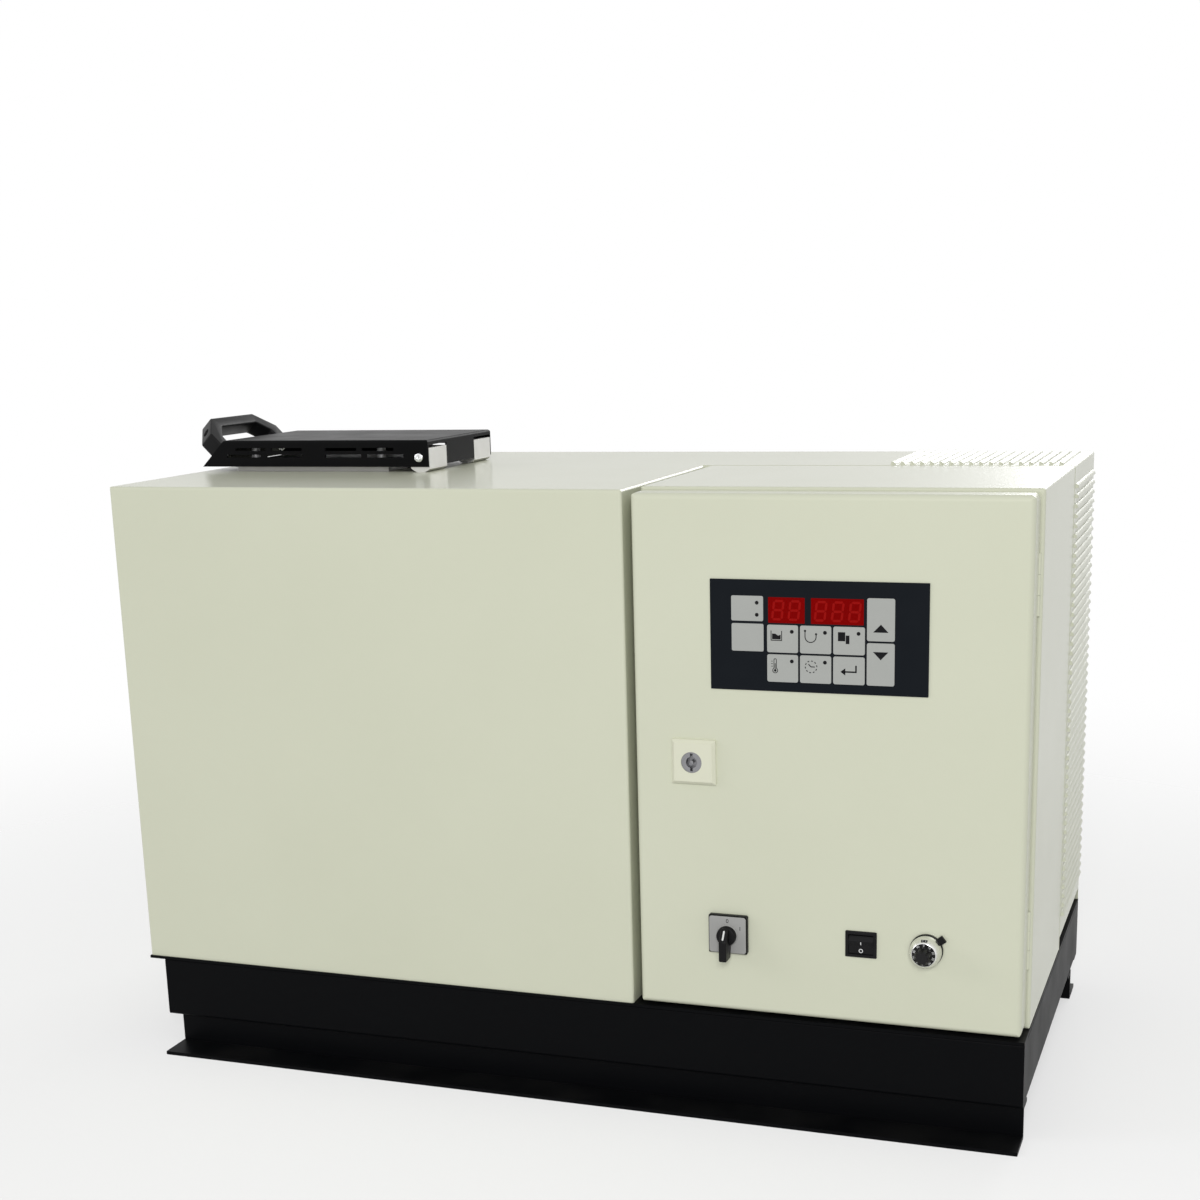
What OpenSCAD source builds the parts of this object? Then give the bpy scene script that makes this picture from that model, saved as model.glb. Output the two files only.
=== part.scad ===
// Hot melt glue unit: heated tank with a geared pump under a sheet hood, and a control cabinet beside it.
// Millimetres, +Z up. Inside the modules x runs from the hood's left side, y back from the front
// plane and z up from the floor; in_frame() then centres the footprint on the origin.

/* [Unit] */
// Width over the hood and the cabinet
unit_w = 1000; // [940:2:1100]
// Depth of the hood
unit_d = 486; // [470:2:540]
// Height of the hood and the cabinet above the floor
unit_h = 646; // [626:2:720]
// Sheet thickness of hood, cabinet and door
sheet = 2; // [1.5:0.1:2.5]
// Radius of the sheet's outer bends
bend_r = 3; // [2.6:0.1:4]
// Slack between pieces that rest against each other but move apart
seat_gap = 0.3; // [0.2:0.05:0.4]
// Radial slack of shafts and pins that turn
run_gap = 0.06; // [0.03:0.01:0.1]

/* [Base] */
// Height of the base plate's top
base_h = 107; // [95:1:120]
// Thickness of the base plate
plate_t = 3; // [2:0.5:4]
// Lip of the base plate in front of the hood
plate_lip = 2; // [1:0.5:4]
// Height of the runners
runner_h = 36; // [30:1:45]
// Thickness of the runners
runner_t = 4; // [3:0.5:5]
// Width of a runner's foot
runner_foot = 40; // [30:1:50]
// Width of a runner's upper flange
runner_flange = 25; // [20:1:35]
// Set-back of the front runner's web
runner_set = 6; // [4:1:12]
// Set-back of the rear runner's web from the rear face
runner_rear_set = 60; // [40:2:90]
// Inset of the runners at the left end
runner_inset = 32; // [20:1:60]
// Inset of the base rails at the left end
rail_inset = 18; // [10:1:30]
// Flange width of the base rails
rail_flange = 25; // [18:1:35]
// Thickness of the base rails
rail_t = 3; // [2:0.5:4]

/* [Hood and louvres] */
// Depth of the louvred section behind the cabinet
rear_d = 200; // [190:2:230]
// Air gap under the louvred side
air_gap = 15; // [8:1:25]
// Distance from one louvre to the next
louvre_pitch = 10.6; // [9.5:0.1:14]
// Radius of a louvre's pressed form
louvre_r = 5; // [4:0.1:6]
// Height that a louvre stands proud
louvre_h = 3.2; // [2.6:0.1:3.8]
// Wall of a louvre
louvre_t = 1.4; // [1:0.1:1.6]
// Plain sheet left round the louvre fields
louvre_margin = 9; // [9:1:25]
// Share of the louvred section's top that carries louvres
top_share = 0.46; // [0.3:0.01:0.8]

/* [Filler lid] */
// Length of the lid
lid_l = 292; // [270:1:320]
// Width of the lid
lid_d = 180; // [170:1:200]
// Height of the lid
lid_h = 30; // [28:1:36]
// Gap between the hood and the lid's edge
lid_lift = 6; // [5:0.5:9]
// Offset of the lid's tip from the hood's left side
lid_x = 6; // [2:1:20]
// Offset of the lid from the hood's rear face
lid_back = 120; // [108:1:130]
// Radius of the lid's outer folds
lid_r = 3; // [2.2:0.1:4]
// Width of a hinge block
block_d = 48; // [30:1:55]
// Height of a hinge block
block_h = 27; // [23:0.5:27]
// Hinge block's reach to either side of the pivot
block_reach = 11; // [9:0.5:12]
// Radius of a pivot screw's shoulder
pivot_r = 3; // [2:0.25:4]
// Height of the lid's vent slots
slot_h = 3.4; // [2:0.2:4]

/* [Lid handle] */
// Length of the handle
handle_l = 156; // [130:1:165]
// Width of the handle
handle_w = 20; // [16:1:24]
// Height of the handle over the lid's slope
handle_h = 45; // [38:1:50]
// Height of the handle's feet
handle_foot = 22; // [16:1:24]
// Length of the handle's end slopes
handle_slope = 30; // [24:1:36]
// Thickness of the handle's bar
handle_bar = 14; // [10:1:16]
// Length of a handle foot
handle_leg = 20; // [16:1:26]

/* [Tank and pump] */
// Wall of the tank
tank_wall = 10; // [8:1:12]
// Inside length of the filler and the tank
tank_l = 192; // [170:2:200]
// Inside width of the filler and the tank
tank_d = 152; // [140:2:156]
// Height of the tank's underside
tank_z = 190; // [170:2:200]
// Height of the filler collar
rim_h = 16; // [14:1:24]
// Length of the manifold block
manifold_l = 200; // [180:2:220]
// Depth of the manifold block
manifold_d = 60; // [50:1:66]
// Module of the pump gears
gear_m = 2; // [1.8:0.1:2.2]
// Teeth of a pump gear
gear_z = 12; // [11:1:13]
// Face width of a pump gear
gear_b = 20; // [14:1:26]
// Radius of the pump shafts
shaft_r = 6; // [5:0.25:7]
// Radius of the shaft coupling
coupling_r = 20; // [16:1:24]
// Length of the shaft coupling
coupling_l = 50; // [40:1:60]
// Length of the motor
motor_l = 220; // [180:5:240]
// Radius of the motor over its fins
motor_r = 52; // [44:1:56]

/* [Hose connections] */
// Radius of a hose nipple's threaded end
nipple_r = 7.14; // [6:0.01:8.5]
// Length of a hose nipple's threaded end
nipple_l = 18; // [14:1:20]
// Distance between hose stations
station_pitch = 80; // [64:2:90]
// Width of a socket's flange
socket_w = 50; // [46:1:54]
// Height of a socket's flange
socket_h = 60; // [56:1:66]
// Distance between socket screws across
socket_sx = 40; // [38:1:42]
// Distance between socket screws in height
socket_sz = 51; // [49:1:53]
// Radius of a contact
contact_r = 2; // [1.6:0.05:2.2]

/* [Cabinet] */
// Width of the cabinet
cabinet_w = 400; // [380:2:430]
// Gap between the hood and the cabinet
cabinet_gap = 8; // [4:1:14]
// Depth of the door
door_d = 30; // [26:1:34]
// Space between the door and the cabinet's rim
door_gap = 6; // [5:0.5:8]
// Margin of the door inside the cabinet's outline
door_inset = 4; // [1:0.5:5]
// Rounding of the door's edges
door_r = 6; // [4:0.5:8]
// Width of the cabinet's front rim
rim_w = 28; // [24:1:32]
// Width of the door's rear lip
lip_w = 26; // [22:1:28]
// Radius of the door's hinge pins
hinge_pin_r = 1.2; // [0.8:0.1:1.4]
// Height of a hinge
hinge_h = 60; // [45:1:80]
// Thickness of a hinge's leaf
leaf_t = 1.5; // [1:0.1:2]
// Width of a hinge's leaf
leaf_w = 14; // [10:1:15]

/* [Door fittings] */
// Width of the keypad
keypad_w = 217; // [200:1:240]
// Height of the keypad
keypad_h = 110; // [110:1:124]
// Keypad's left edge from the cabinet's left side
keypad_x = 82.5; // [70:0.5:95]
// Keypad's upper edge below the door's upper edge
keypad_drop = 83; // [60:1:100]
// Thickness of the keypad's overlay
overlay_t = 1.2; // [1:0.1:1.4]
// Travel of a key
key_travel = 0.5; // [0.3:0.05:0.6]
// Lock barrel from the cabinet's left side
lock_x = 62; // [58:0.5:66]
// Lock barrel below the door's mid height
lock_drop = 2.5; // [-10:0.5:30]
// Radius of the lock barrel
lock_r = 10.8; // [9:0.1:11.5]
// Width and height of the lock's plate
lock_plate_s = 46; // [44:1:50]
// Row of switches above the door's lower edge
switch_rise = 84.5; // [70:0.5:100]
// Mains switch from the cabinet's left side
cam_x = 98; // [90:0.5:110]
// Width and height of the mains switch's frame
cam_s = 41; // [38:1:44]
// Rocker switch from the cabinet's left side
rocker_x = 235.5; // [220:0.5:250]
// Width of the rocker's bezel
rocker_w = 32; // [30:0.5:34]
// Height of the rocker's bezel
rocker_h = 27.5; // [26:0.5:30]
// Throw of the rocker in degrees
rocker_throw = 14; // [8:1:14]
// Dial from the cabinet's left side
dial_x = 301.5; // [292:0.5:310]
// Radius of the dial's ring
dial_r = 16; // [15:0.25:17]
// Radius of the dial's knob
knob_r = 8; // [7:0.25:9]

/* [Hidden] */
$fn = 48;
eps = 0.01;
over = 1;

// Layout of the main boxes
cab_x = unit_w - cabinet_w;
hood_w = cab_x - cabinet_gap;
rear_y = unit_d - rear_d;
shell_gap = 2;
cab_y0 = door_d + door_gap;
cab_y1 = rear_y - shell_gap;

// Layout of the lid, hung on pivots near its right end
lid_y = unit_d - lid_back - lid_d;
lid_z0 = unit_h + lid_lift;
lid_z1 = lid_z0 + lid_h;
lid_x1 = lid_x + lid_l;
lid_mid_y = lid_y + lid_d / 2;
pivot_x = lid_x1 - block_reach;
pivot_rise = 16.5;
pivot_clear = 2.8;
pivot_z = unit_h + pivot_rise;
band_z = pivot_z + block_reach + pivot_clear;
block_y = [lid_y + sheet + seat_gap, lid_y + lid_d - sheet - seat_gap - block_d];
liner_t = 3;
slope_t = lid_h * sqrt(2);
handle_t = (slope_t - handle_w) / 2;
slope_x = lid_x + lid_h;
handle_over = max(0, (handle_h + slope_t - handle_t) / sqrt(2) - slope_x);

// Layout of the tank, centred under the lid's filler collar
fill_set = 42;
fill_x = lid_x + fill_set;
fill_y = lid_mid_y - tank_d / 2;
rim_t = 2;
rim_z1 = lid_z0 - seat_gap;
tank_z1 = rim_z1 - rim_h;
tank_x0 = fill_x - tank_wall;
tank_x1 = fill_x + tank_l + tank_wall;
tank_y0 = fill_y - tank_wall;
tank_y1 = fill_y + tank_d + tank_wall;
floor_t = 25;
hopper_h = 85;
tank_floor = tank_z + floor_t;
hopper_z = tank_floor + hopper_h;
heater_r = 6;
heater_l = 150;

// Layout of the pump line, parallel to x behind the tank
manifold_lap = 100;
manifold_x = tank_x1 - manifold_lap;
manifold_h = 62;
manifold_rise = 10;
manifold_z = tank_z + manifold_rise;
manifold_y1 = tank_y1 + manifold_d;
pump_x = manifold_x + manifold_l;
pump_y = tank_y1 + manifold_d / 2;
gear_cd = gear_m * gear_z;
gear_ro = gear_m * (gear_z + 2) / 2;
gear_slack = 0.08;
drive_z = manifold_z + manifold_h / 2 + gear_cd / 2;
driven_z = drive_z - gear_cd;
pump_wall = 12;
chamber_x = pump_x + pump_wall;
cover_x = chamber_x + gear_b;
cover_t = 12;
coupling_set = 10;
coupling_x = cover_x + cover_t + coupling_set;
coupling_end = 1;
gearbox_x = coupling_x + coupling_l + coupling_end;
gearbox_l = 100;
gearbox_s = 100;
gearbox_z = drive_z - gearbox_s / 2;
motor_x = gearbox_x + gearbox_l;
output_r = 9;
output_l = 15;

// Layout of the rear connections
outlet_set = 60;
station_x = [for (i = [0, 1]) manifold_x + outlet_set + i * station_pitch];
station_z = manifold_z + manifold_h / 2;
panel_lap = 10;
panel_x0 = manifold_x - panel_lap;
panel_w = 390;
panel_h = 110;
panel_z = station_z - panel_h / 2;
panel_edge = 12;
panel_y = unit_d + sheet;
nipple_out = 32;
socket_set = 110;
socket_x = [for (i = [0, 1]) station_x[1] + socket_set + i * station_pitch];
socket_back = 20;
collar_w = 45;
collar_h = 36;
collar_t = 2;
collar_out = 14;
flange_t = 4;
insert_w = 34.5;
insert_h = 26;
contact_cols = [-13.4, -6, 6, 13.4];
contact_pitch = 8.9;

// Layout of the door and its fittings
door_side = 0.6;
door_ends = 3;
door_x0 = cab_x + door_side;
door_x1 = unit_w - door_inset;
door_z0 = base_h + door_ends;
door_z1 = unit_h - door_ends;
hinge_in = 0.5;
hinge_low = 95;
hinge_high = 90;
hinge_x = door_x1 - hinge_in;
hinge_y = door_d + door_gap / 2;
hinge_z = [base_h + hinge_low, unit_h - hinge_high];
knuckle_r = door_gap / 2 - hinge_in;
knuckle_l = hinge_h / 3;
gasket_w = 8;
gasket_in = 8;
gasket_clear = 3;
gasket_x1 = hinge_x - leaf_w - gasket_clear;
keypad_z = door_z1 - keypad_drop - keypad_h;
lock_z = (door_z0 + door_z1) / 2 - lock_drop;
switch_z = door_z0 + switch_rise;
lock_mid_x = cab_x + lock_x;
cam_mid_x = cab_x + cam_x;
rocker_mid_x = cab_x + rocker_x;
dial_mid_x = cab_x + dial_x;
key_x0 = cab_x + keypad_x;
key_slack = 0.2;
key_rise = 0.4;
tongue_t = 3;

// Outer limits, which put the origin at the middle of the footprint
front_out = runner_foot - runner_set;
rear_out = sheet + nipple_out;
mid_x = (unit_w + louvre_h - handle_over) / 2;
mid_y = (unit_d + rear_out - front_out) / 2;

// Colours
cream = [0.80, 0.82, 0.75];
black = [0.08, 0.08, 0.09];
alu = [0.72, 0.73, 0.74];
steel = [0.62, 0.63, 0.65];
grey = [0.33, 0.33, 0.34];
brass = [0.78, 0.62, 0.30];

// Shapes that repeat

module in_frame() translate([-mid_x, -mid_y, 0]) children();

// Extrudes a profile drawn in (y, z) along +x
module along_x(len) rotate([90, 0, 90]) linear_extrude(len) children();

// Extrudes a profile drawn in (x, z) along +y
module along_y(len) translate([0, len, 0]) rotate([90, 0, 0]) linear_extrude(len) children();

// Cylinder along +x, and along +y
module rod_x(r, len) rotate([0, 90, 0]) cylinder(r = r, h = len);
module rod_y(r, len) rotate([-90, 0, 0]) cylinder(r = r, h = len);

// Box between two corners
module span(a, b) translate(a) cube(b - a);

module round_rect(w, h, r) {
    translate([r, 0]) square([w - 2 * r, h]);
    translate([0, r]) square([w, h - 2 * r]);
    for (x = [r, w - r], y = [r, h - r]) translate([x, y]) circle(r);
}

// Folded sheet form: a box whose edges are all bent to radius r
module bent_box(a, b, r) {
    s = b - a;
    translate(a) intersection() {
        linear_extrude(s.z) round_rect(s.x, s.y, r);
        along_y(s.y) round_rect(s.x, s.z, r);
        along_x(s.x) round_rect(s.y, s.z, r);
    }
}

// One pressed louvre along +y with its outside at +z and its mouth at -x
module louvre_form(len, r, turn) rotate([-90, 0, 0]) rotate([0, 0, -90]) rotate_extrude(angle = turn)
    intersection() {
        union() {
            translate([0, r]) square([r, len - 2 * r]);
            for (y = [r, len - r]) translate([0, y]) circle(r);
        }
        square([r, len]);
    }

// Base

module base_plate() color(black)
    span([0, -plate_lip, base_h - plate_t], [unit_w, unit_d, base_h]);

rail_h = base_h - plate_t - runner_h;

module rail_section() difference() {
    union() {
        translate([bend_r, 0]) square([rail_flange - bend_r, rail_h]);
        translate([0, bend_r]) square([rail_flange, rail_h - 2 * bend_r]);
        for (z = [bend_r, rail_h - bend_r]) translate([bend_r, z]) circle(bend_r);
    }
    translate([rail_t, rail_t]) square([rail_flange, rail_h - 2 * rail_t]);
}

module side_rail() {
    translate([0, rail_flange, 0]) along_y(unit_d - 2 * rail_flange) rail_section();
    span([0, rail_t, bend_r], [rail_t, unit_d - rail_t, rail_h - bend_r]);
}

module base_rails() color(black) translate([0, 0, runner_h]) {
    translate([rail_inset, 0, 0]) along_x(unit_w - rail_inset) rail_section();
    translate([rail_inset, unit_d, 0]) along_x(unit_w - rail_inset) mirror([1, 0]) rail_section();
    translate([rail_inset, 0, 0]) side_rail();
    translate([unit_w, 0, 0]) mirror([1, 0, 0]) side_rail();
}

// Z-section, its foot turned out and its upper flange turned in under the rails
module runner_section() {
    translate([-runner_foot, 0]) square([runner_foot + runner_t, runner_t]);
    square([runner_t, runner_h]);
    translate([0, runner_h - runner_t]) square([runner_flange, runner_t]);
}

module runners() color(black) {
    translate([runner_inset, runner_set, 0]) along_x(unit_w - runner_inset) runner_section();
    translate([runner_inset, unit_d - runner_rear_set, 0]) along_x(unit_w - runner_inset)
        mirror([1, 0]) runner_section();
}

// Hood over the tank and the pump, and louvred cover over the motor

fill_slack = 2;

// Outline of the hood: bent at every edge, but running flat into the louvred cover behind the cabinet
module hood_outline() intersection() {
    union() {
        bent_box([0, 0, base_h - bend_r], [hood_w, unit_d, unit_h], bend_r);
        intersection() {
            bent_box([0, 0, base_h - bend_r], [unit_w, unit_d, unit_h], bend_r);
            span([hood_w - 2 * bend_r, rear_y, 0], [hood_w, unit_d, unit_h]);
        }
    }
    span([0, 0, base_h], [hood_w, unit_d, unit_h]);
}

module tank_hood() color(cream) difference() {
    hood_outline();
    span([sheet, sheet, 0], [hood_w - sheet, unit_d - sheet, unit_h - sheet]);
    span([hood_w - 2 * sheet, rear_y + sheet, 0], [hood_w + over, unit_d - sheet, unit_h - sheet]);
    span([fill_x - rim_t - fill_slack, fill_y - rim_t - fill_slack, unit_h - 2 * sheet],
        [fill_x + tank_l + rim_t + fill_slack, fill_y + tank_d + rim_t + fill_slack, unit_h + over]);
    span([panel_x0 + panel_edge, unit_d - 2 * sheet, panel_z + panel_edge],
        [panel_x0 + panel_w - panel_edge, unit_d + over, panel_z + panel_h - panel_edge]);
}

louvre_y = rear_y + louvre_margin;
louvre_len = rear_d - 2 * louvre_margin;
louvre_z0 = base_h + air_gap + 2.5 * louvre_margin;
louvre_z1 = unit_h - 2 * louvre_margin - louvre_r;
louvre_x1 = unit_w - 2 * louvre_margin;
side_louvres = floor((louvre_z1 - louvre_z0) / louvre_pitch) + 1;
top_louvres = floor(top_share * (unit_w - hood_w) / louvre_pitch) + 1;

module louvres(r, turn) {
    sunk = louvre_r - louvre_h;
    shift = louvre_r - r;
    for (i = [0 : side_louvres - 1])
        translate([unit_w - sunk, louvre_y + shift, louvre_z0 + i * louvre_pitch]) rotate([0, 90, 0])
            mirror([1, 0, 0]) louvre_form(louvre_len - 2 * shift, r, turn);
    for (i = [0 : top_louvres - 1])
        translate([louvre_x1 - i * louvre_pitch, louvre_y + shift, unit_h - sunk])
            louvre_form(louvre_len - 2 * shift, r, turn);
}

module louvre_cover() color(cream) difference() {
    union() {
        difference() {
            intersection() {
                bent_box([0, rear_y, base_h - bend_r], [unit_w, unit_d, unit_h], bend_r);
                span([hood_w, rear_y, base_h], [unit_w, unit_d, unit_h]);
            }
            span([hood_w - over, rear_y + sheet, 0], [unit_w - sheet, unit_d - sheet, unit_h - sheet]);
            span([unit_w - 2 * sheet, rear_y + sheet, 0], [unit_w + over, unit_d - sheet, base_h + air_gap]);
        }
        louvres(louvre_r, 90);
    }
    louvres(louvre_r - louvre_t, 180);
}

module filler_rim() color(steel) difference() {
    span([fill_x - rim_t, fill_y - rim_t, tank_z1],
        [fill_x + tank_l + rim_t, fill_y + tank_d + rim_t, rim_z1]);
    span([fill_x, fill_y, 0], [fill_x + tank_l, fill_y + tank_d, unit_h * 2]);
}

// Lid with vent slots, hung on two blocks

slot_z = [18, 10.5];
slot_lens = [40, 46];
slot_gap = 7;
slot_mid = 147;
slot_web = 30;

module vent_slots() for (row = [0, 1], side = [-1, 1], k = [0, 1]) {
    first = side * slot_web / 2 + (side < 0 ? -slot_lens[row] : 0);
    translate([lid_x + slot_mid + first + side * k * (slot_lens[row] + slot_gap), lid_y - over,
        lid_z0 + slot_z[row]]) cube([slot_lens[row], lid_d + 2 * over, slot_h]);
}

// Side of the lid, its two upper folds rounded to lid_r
module lid_side() {
    cut = lid_r * tan(22.5);
    polygon([[lid_x, lid_z0], [lid_x1, lid_z0], [lid_x1, lid_z1 - lid_r], [lid_x1 - lid_r, lid_z1],
        [slope_x + cut, lid_z1], [slope_x - cut / sqrt(2), lid_z1 - cut / sqrt(2)]]);
    for (x = [lid_x1 - lid_r, slope_x + cut]) translate([x, lid_z1 - lid_r]) circle(lid_r);
}

// Section across the lid, its long folds rounded
module lid_section() {
    translate([lid_y, lid_z0]) square([lid_d, lid_h - lid_r]);
    translate([lid_y + lid_r, lid_z0]) square([lid_d - 2 * lid_r, lid_h]);
    for (y = [lid_y + lid_r, lid_y + lid_d - lid_r]) translate([y, lid_z1 - lid_r]) circle(lid_r);
}

module lid_cover() color(black) difference() {
    intersection() {
        translate([0, lid_y, 0]) along_y(lid_d) lid_side();
        translate([lid_x, 0, 0]) along_x(lid_l) lid_section();
    }
    translate([0, lid_y + sheet, 0]) along_y(lid_d - 2 * sheet) polygon([
        [lid_x + sheet * sqrt(2) - over, lid_z0 - over], [lid_x1 - sheet, lid_z0 - over],
        [lid_x1 - sheet, lid_z1 - sheet], [slope_x + sheet * (sqrt(2) - 1), lid_z1 - sheet]]);
    for (y = block_y) span([lid_x1 - 2 * sheet, y - seat_gap - eps, lid_z0 - over],
        [lid_x1 + over, y + block_d + over, band_z]);
    vent_slots();
    translate([pivot_x, lid_y - over, pivot_z]) rod_y(pivot_r + run_gap, lid_d + 2 * over);
    on_slope() bolt_holes();
}

liner_edge = 14;
post_r = 5;

// Inner plate that closes the filler, on four posts under the lid's top
module lid_liner() color(alu) {
    span([fill_x - liner_edge, fill_y - liner_edge / 2, lid_z0],
        [fill_x + tank_l + liner_edge, fill_y + tank_d + liner_edge / 2, lid_z0 + liner_t]);
    for (x = [fill_x + liner_edge, fill_x + tank_l - liner_edge],
        y = [fill_y + liner_edge, fill_y + tank_d - liner_edge])
            translate([x, y, lid_z0 + liner_t]) cylinder(r = post_r, h = lid_h - sheet - liner_t);
}

block_tail = 1;
block_round = 6;

module hinge_blocks() color(alu) for (y = block_y) difference() {
    translate([pivot_x, y, unit_h]) along_y(block_d) intersection() {
        translate([-block_reach - block_tail, 0]) square([2 * block_reach + block_tail, block_h]);
        translate([0, pivot_rise]) circle(block_reach + block_round);
    }
    translate([pivot_x, y - over, pivot_z]) rod_y(pivot_r + run_gap, block_d + 2 * over);
}

pivot_in = 20;
pivot_head = 3;
pivot_collar = 2;

module lid_pivot_screws() color(steel) for (side = [0, 1]) translate([pivot_x, lid_mid_y, pivot_z])
    mirror([0, side, 0]) translate([0, -lid_d / 2 - seat_gap, 0]) {
        rod_y(pivot_r, pivot_in);
        translate([0, -pivot_head, 0]) rod_y(pivot_r + pivot_collar, pivot_head);
    }

// Lid handle, drawn along y with its feet at z = 0 and then laid on the lid's slope

module on_slope() translate([slope_x, lid_mid_y - handle_l / 2, lid_z1]) rotate([0, -45, 0])
    translate([-slope_t + handle_t, 0, 0]) children();

bolt_y = [handle_leg * 0.65, handle_l - handle_leg * 0.65];
bolt_r = 2.5;
bolt_seat = 8;
bolt_tail = 9;
bolt_slack = 0.1;
head_r = 4.3;
head_h = 4;
head_slack = 0.4;
hex_r = 2.2;
nut_r = 4.6;
nut_t = 4;
inner_drop = 6;
inner_in = 8;

module bolt_holes() for (y = bolt_y) translate([handle_w / 2, y, -bolt_tail - over])
    cylinder(r = bolt_r + bolt_slack, h = bolt_tail + bolt_seat + 2 * over);

module handle_profile() difference() {
    polygon([[0, 0], [handle_l, 0], [handle_l, handle_foot], [handle_l - handle_slope, handle_h],
        [handle_slope, handle_h], [0, handle_foot]]);
    polygon([[handle_leg, -over], [handle_l - handle_leg, -over],
        [handle_l - handle_leg, handle_foot - inner_drop],
        [handle_l - handle_slope - inner_in, handle_h - handle_bar],
        [handle_slope + inner_in, handle_h - handle_bar], [handle_leg, handle_foot - inner_drop]]);
}

module lid_handle() color(black) on_slope() difference() {
    along_x(handle_w) handle_profile();
    bolt_holes();
    for (y = bolt_y) translate([handle_w / 2, y, bolt_seat]) cylinder(r = head_r + head_slack, h = handle_h);
}

module handle_screws() color(steel) on_slope() for (y = bolt_y) translate([handle_w / 2, y, 0]) {
    translate([0, 0, bolt_seat]) difference() {
        cylinder(r = head_r, h = head_h);
        translate([0, 0, head_h / 2]) cylinder(r = hex_r, h = head_h, $fn = 6);
    }
    translate([0, 0, -bolt_tail]) cylinder(r = bolt_r, h = bolt_tail + bolt_seat);
    translate([0, 0, -sheet - nut_t]) cylinder(r = nut_r, h = nut_t, $fn = 6);
}

// Melting tank: a casting with a hopper floor, ribs and heater bores

rib_t = 6;
rib_out = 8;
rib_pitch = 43;
rib_edge = 20;
rib_end = 30;
heater_pitch = 34;
heater_set = 30;
heater_head = 14;
heater_x = [for (i = [0 : 2]) tank_x0 + heater_set + i * heater_pitch];
heater_z = tank_z + floor_t / 2;
bore_slack = 0.1;
outlet_r = 12;
outlet_z = tank_floor + outlet_r + 2;

module heater_rods(r) for (x = heater_x)
    translate([x, tank_y0 - over, heater_z]) rod_y(r, heater_l + over);

sensor_drop = 180;
sensor_set = 40;
sensor_r = 3;
sensor_z = tank_z1 - sensor_drop;
sensor_x = tank_x1 - sensor_set;
sensor_hex = 8;
sensor_lead = 20;

module tank() color(alu) difference() {
    union() {
        span([tank_x0, tank_y0, tank_z], [tank_x1, tank_y1, tank_z1]);
        for (x = [tank_x0 + rib_edge : rib_pitch : tank_x1 - rib_edge])
            span([x, tank_y0 - rib_out, tank_z + rib_end], [x + rib_t, tank_y0 + over, tank_z1 - rib_end]);
    }
    translate([0, fill_y, 0]) along_y(tank_d) polygon([[fill_x, tank_z1 + over], [fill_x, hopper_z],
        [fill_x + tank_l / 2, tank_floor], [fill_x + tank_l, tank_floor], [fill_x + tank_l, tank_z1 + over]]);
    heater_rods(heater_r + bore_slack);
    translate([sensor_x, tank_y0 - over, sensor_z]) rod_y(sensor_r + bore_slack, 0.8 * tank_wall + over);
    translate([station_x[0], fill_y + tank_d - over, outlet_z]) rod_y(outlet_r, tank_wall + 2 * over);
}

module tank_heaters() color(steel) {
    heater_rods(heater_r);
    for (x = heater_x) translate([x, tank_y0 - heater_head, heater_z]) rod_y(1.5 * heater_r, heater_head);
}

strainer_t = 3;
mesh_r = 9;
mesh_edge = 20;
mesh_pitch = [25, 28];

module tank_strainer() color(steel) difference() {
    span([fill_x + key_slack, fill_y + key_slack, hopper_z], [fill_x + tank_l - key_slack,
        fill_y + tank_d - key_slack, hopper_z + strainer_t]);
    for (x = [fill_x + mesh_edge : mesh_pitch.x : fill_x + tank_l - mesh_edge],
        y = [fill_y + mesh_edge : mesh_pitch.y : fill_y + tank_d - mesh_edge])
            translate([x, y, 0]) cylinder(r = mesh_r, h = unit_h);
}

leg_r = 9;
leg_foot_r = 16;
leg_foot_t = 5;

module tank_legs() color(steel) for (x = [tank_x0 + leg_foot_r, tank_x1 - leg_foot_r],
    y = [tank_y0 + leg_foot_r, tank_y1 - leg_foot_r]) translate([x, y, base_h]) {
        cylinder(r = leg_r, h = tank_z - base_h);
        cylinder(r = leg_foot_r, h = leg_foot_t);
    }

module temperature_sensor() color(steel) translate([sensor_x, tank_y0, sensor_z]) {
    rod_y(sensor_r, 0.7 * tank_wall);
    translate([0, -sensor_hex, 0]) rotate([-90, 0, 0])
        cylinder(r = 2 * sensor_r + 1, h = sensor_hex, $fn = 6);
    translate([0, -sensor_hex - sensor_lead, 0]) rod_y(sensor_r + 1, sensor_lead);
}

// Manifold and gear pump

port_r = 5;
port_set = 40;
nipple_in = 16;
nipple_end = 2;

module manifold() color(alu) difference() {
    span([manifold_x, tank_y1, manifold_z], [pump_x, manifold_y1, manifold_z + manifold_h]);
    translate([station_x[0], tank_y1 - over, outlet_z]) rod_y(outlet_r, manifold_d / 2);
    for (x = station_x) translate([x, manifold_y1 - nipple_in - nipple_end, station_z])
        rod_y(nipple_r, nipple_in + nipple_end + over);
    translate([manifold_x + port_set, pump_y, station_z]) rod_x(port_r, manifold_l);
}

pump_side = 18;
pump_end = 14;
pump_round = 8;
pump_half = gear_ro + pump_side;
pump_bolt_r = 5;
pump_bolt_in = 9;
pump_bolt_up = 4;
pump_bolt_h = 6;
bearing_end = 2;
shaft_end = 1;
shaft_in = 17;

module pump_outline() translate([pump_y - pump_half, driven_z - gear_ro - pump_end])
    round_rect(2 * pump_half, gear_cd + 2 * gear_ro + 2 * pump_end, pump_round);

module journals(x, len, r) for (z = [drive_z, driven_z]) translate([x, pump_y, z]) rod_x(r, len);

pump_bolt_y = pump_half - pump_bolt_in;
pump_bolt_z = gear_ro + pump_bolt_up;

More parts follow.
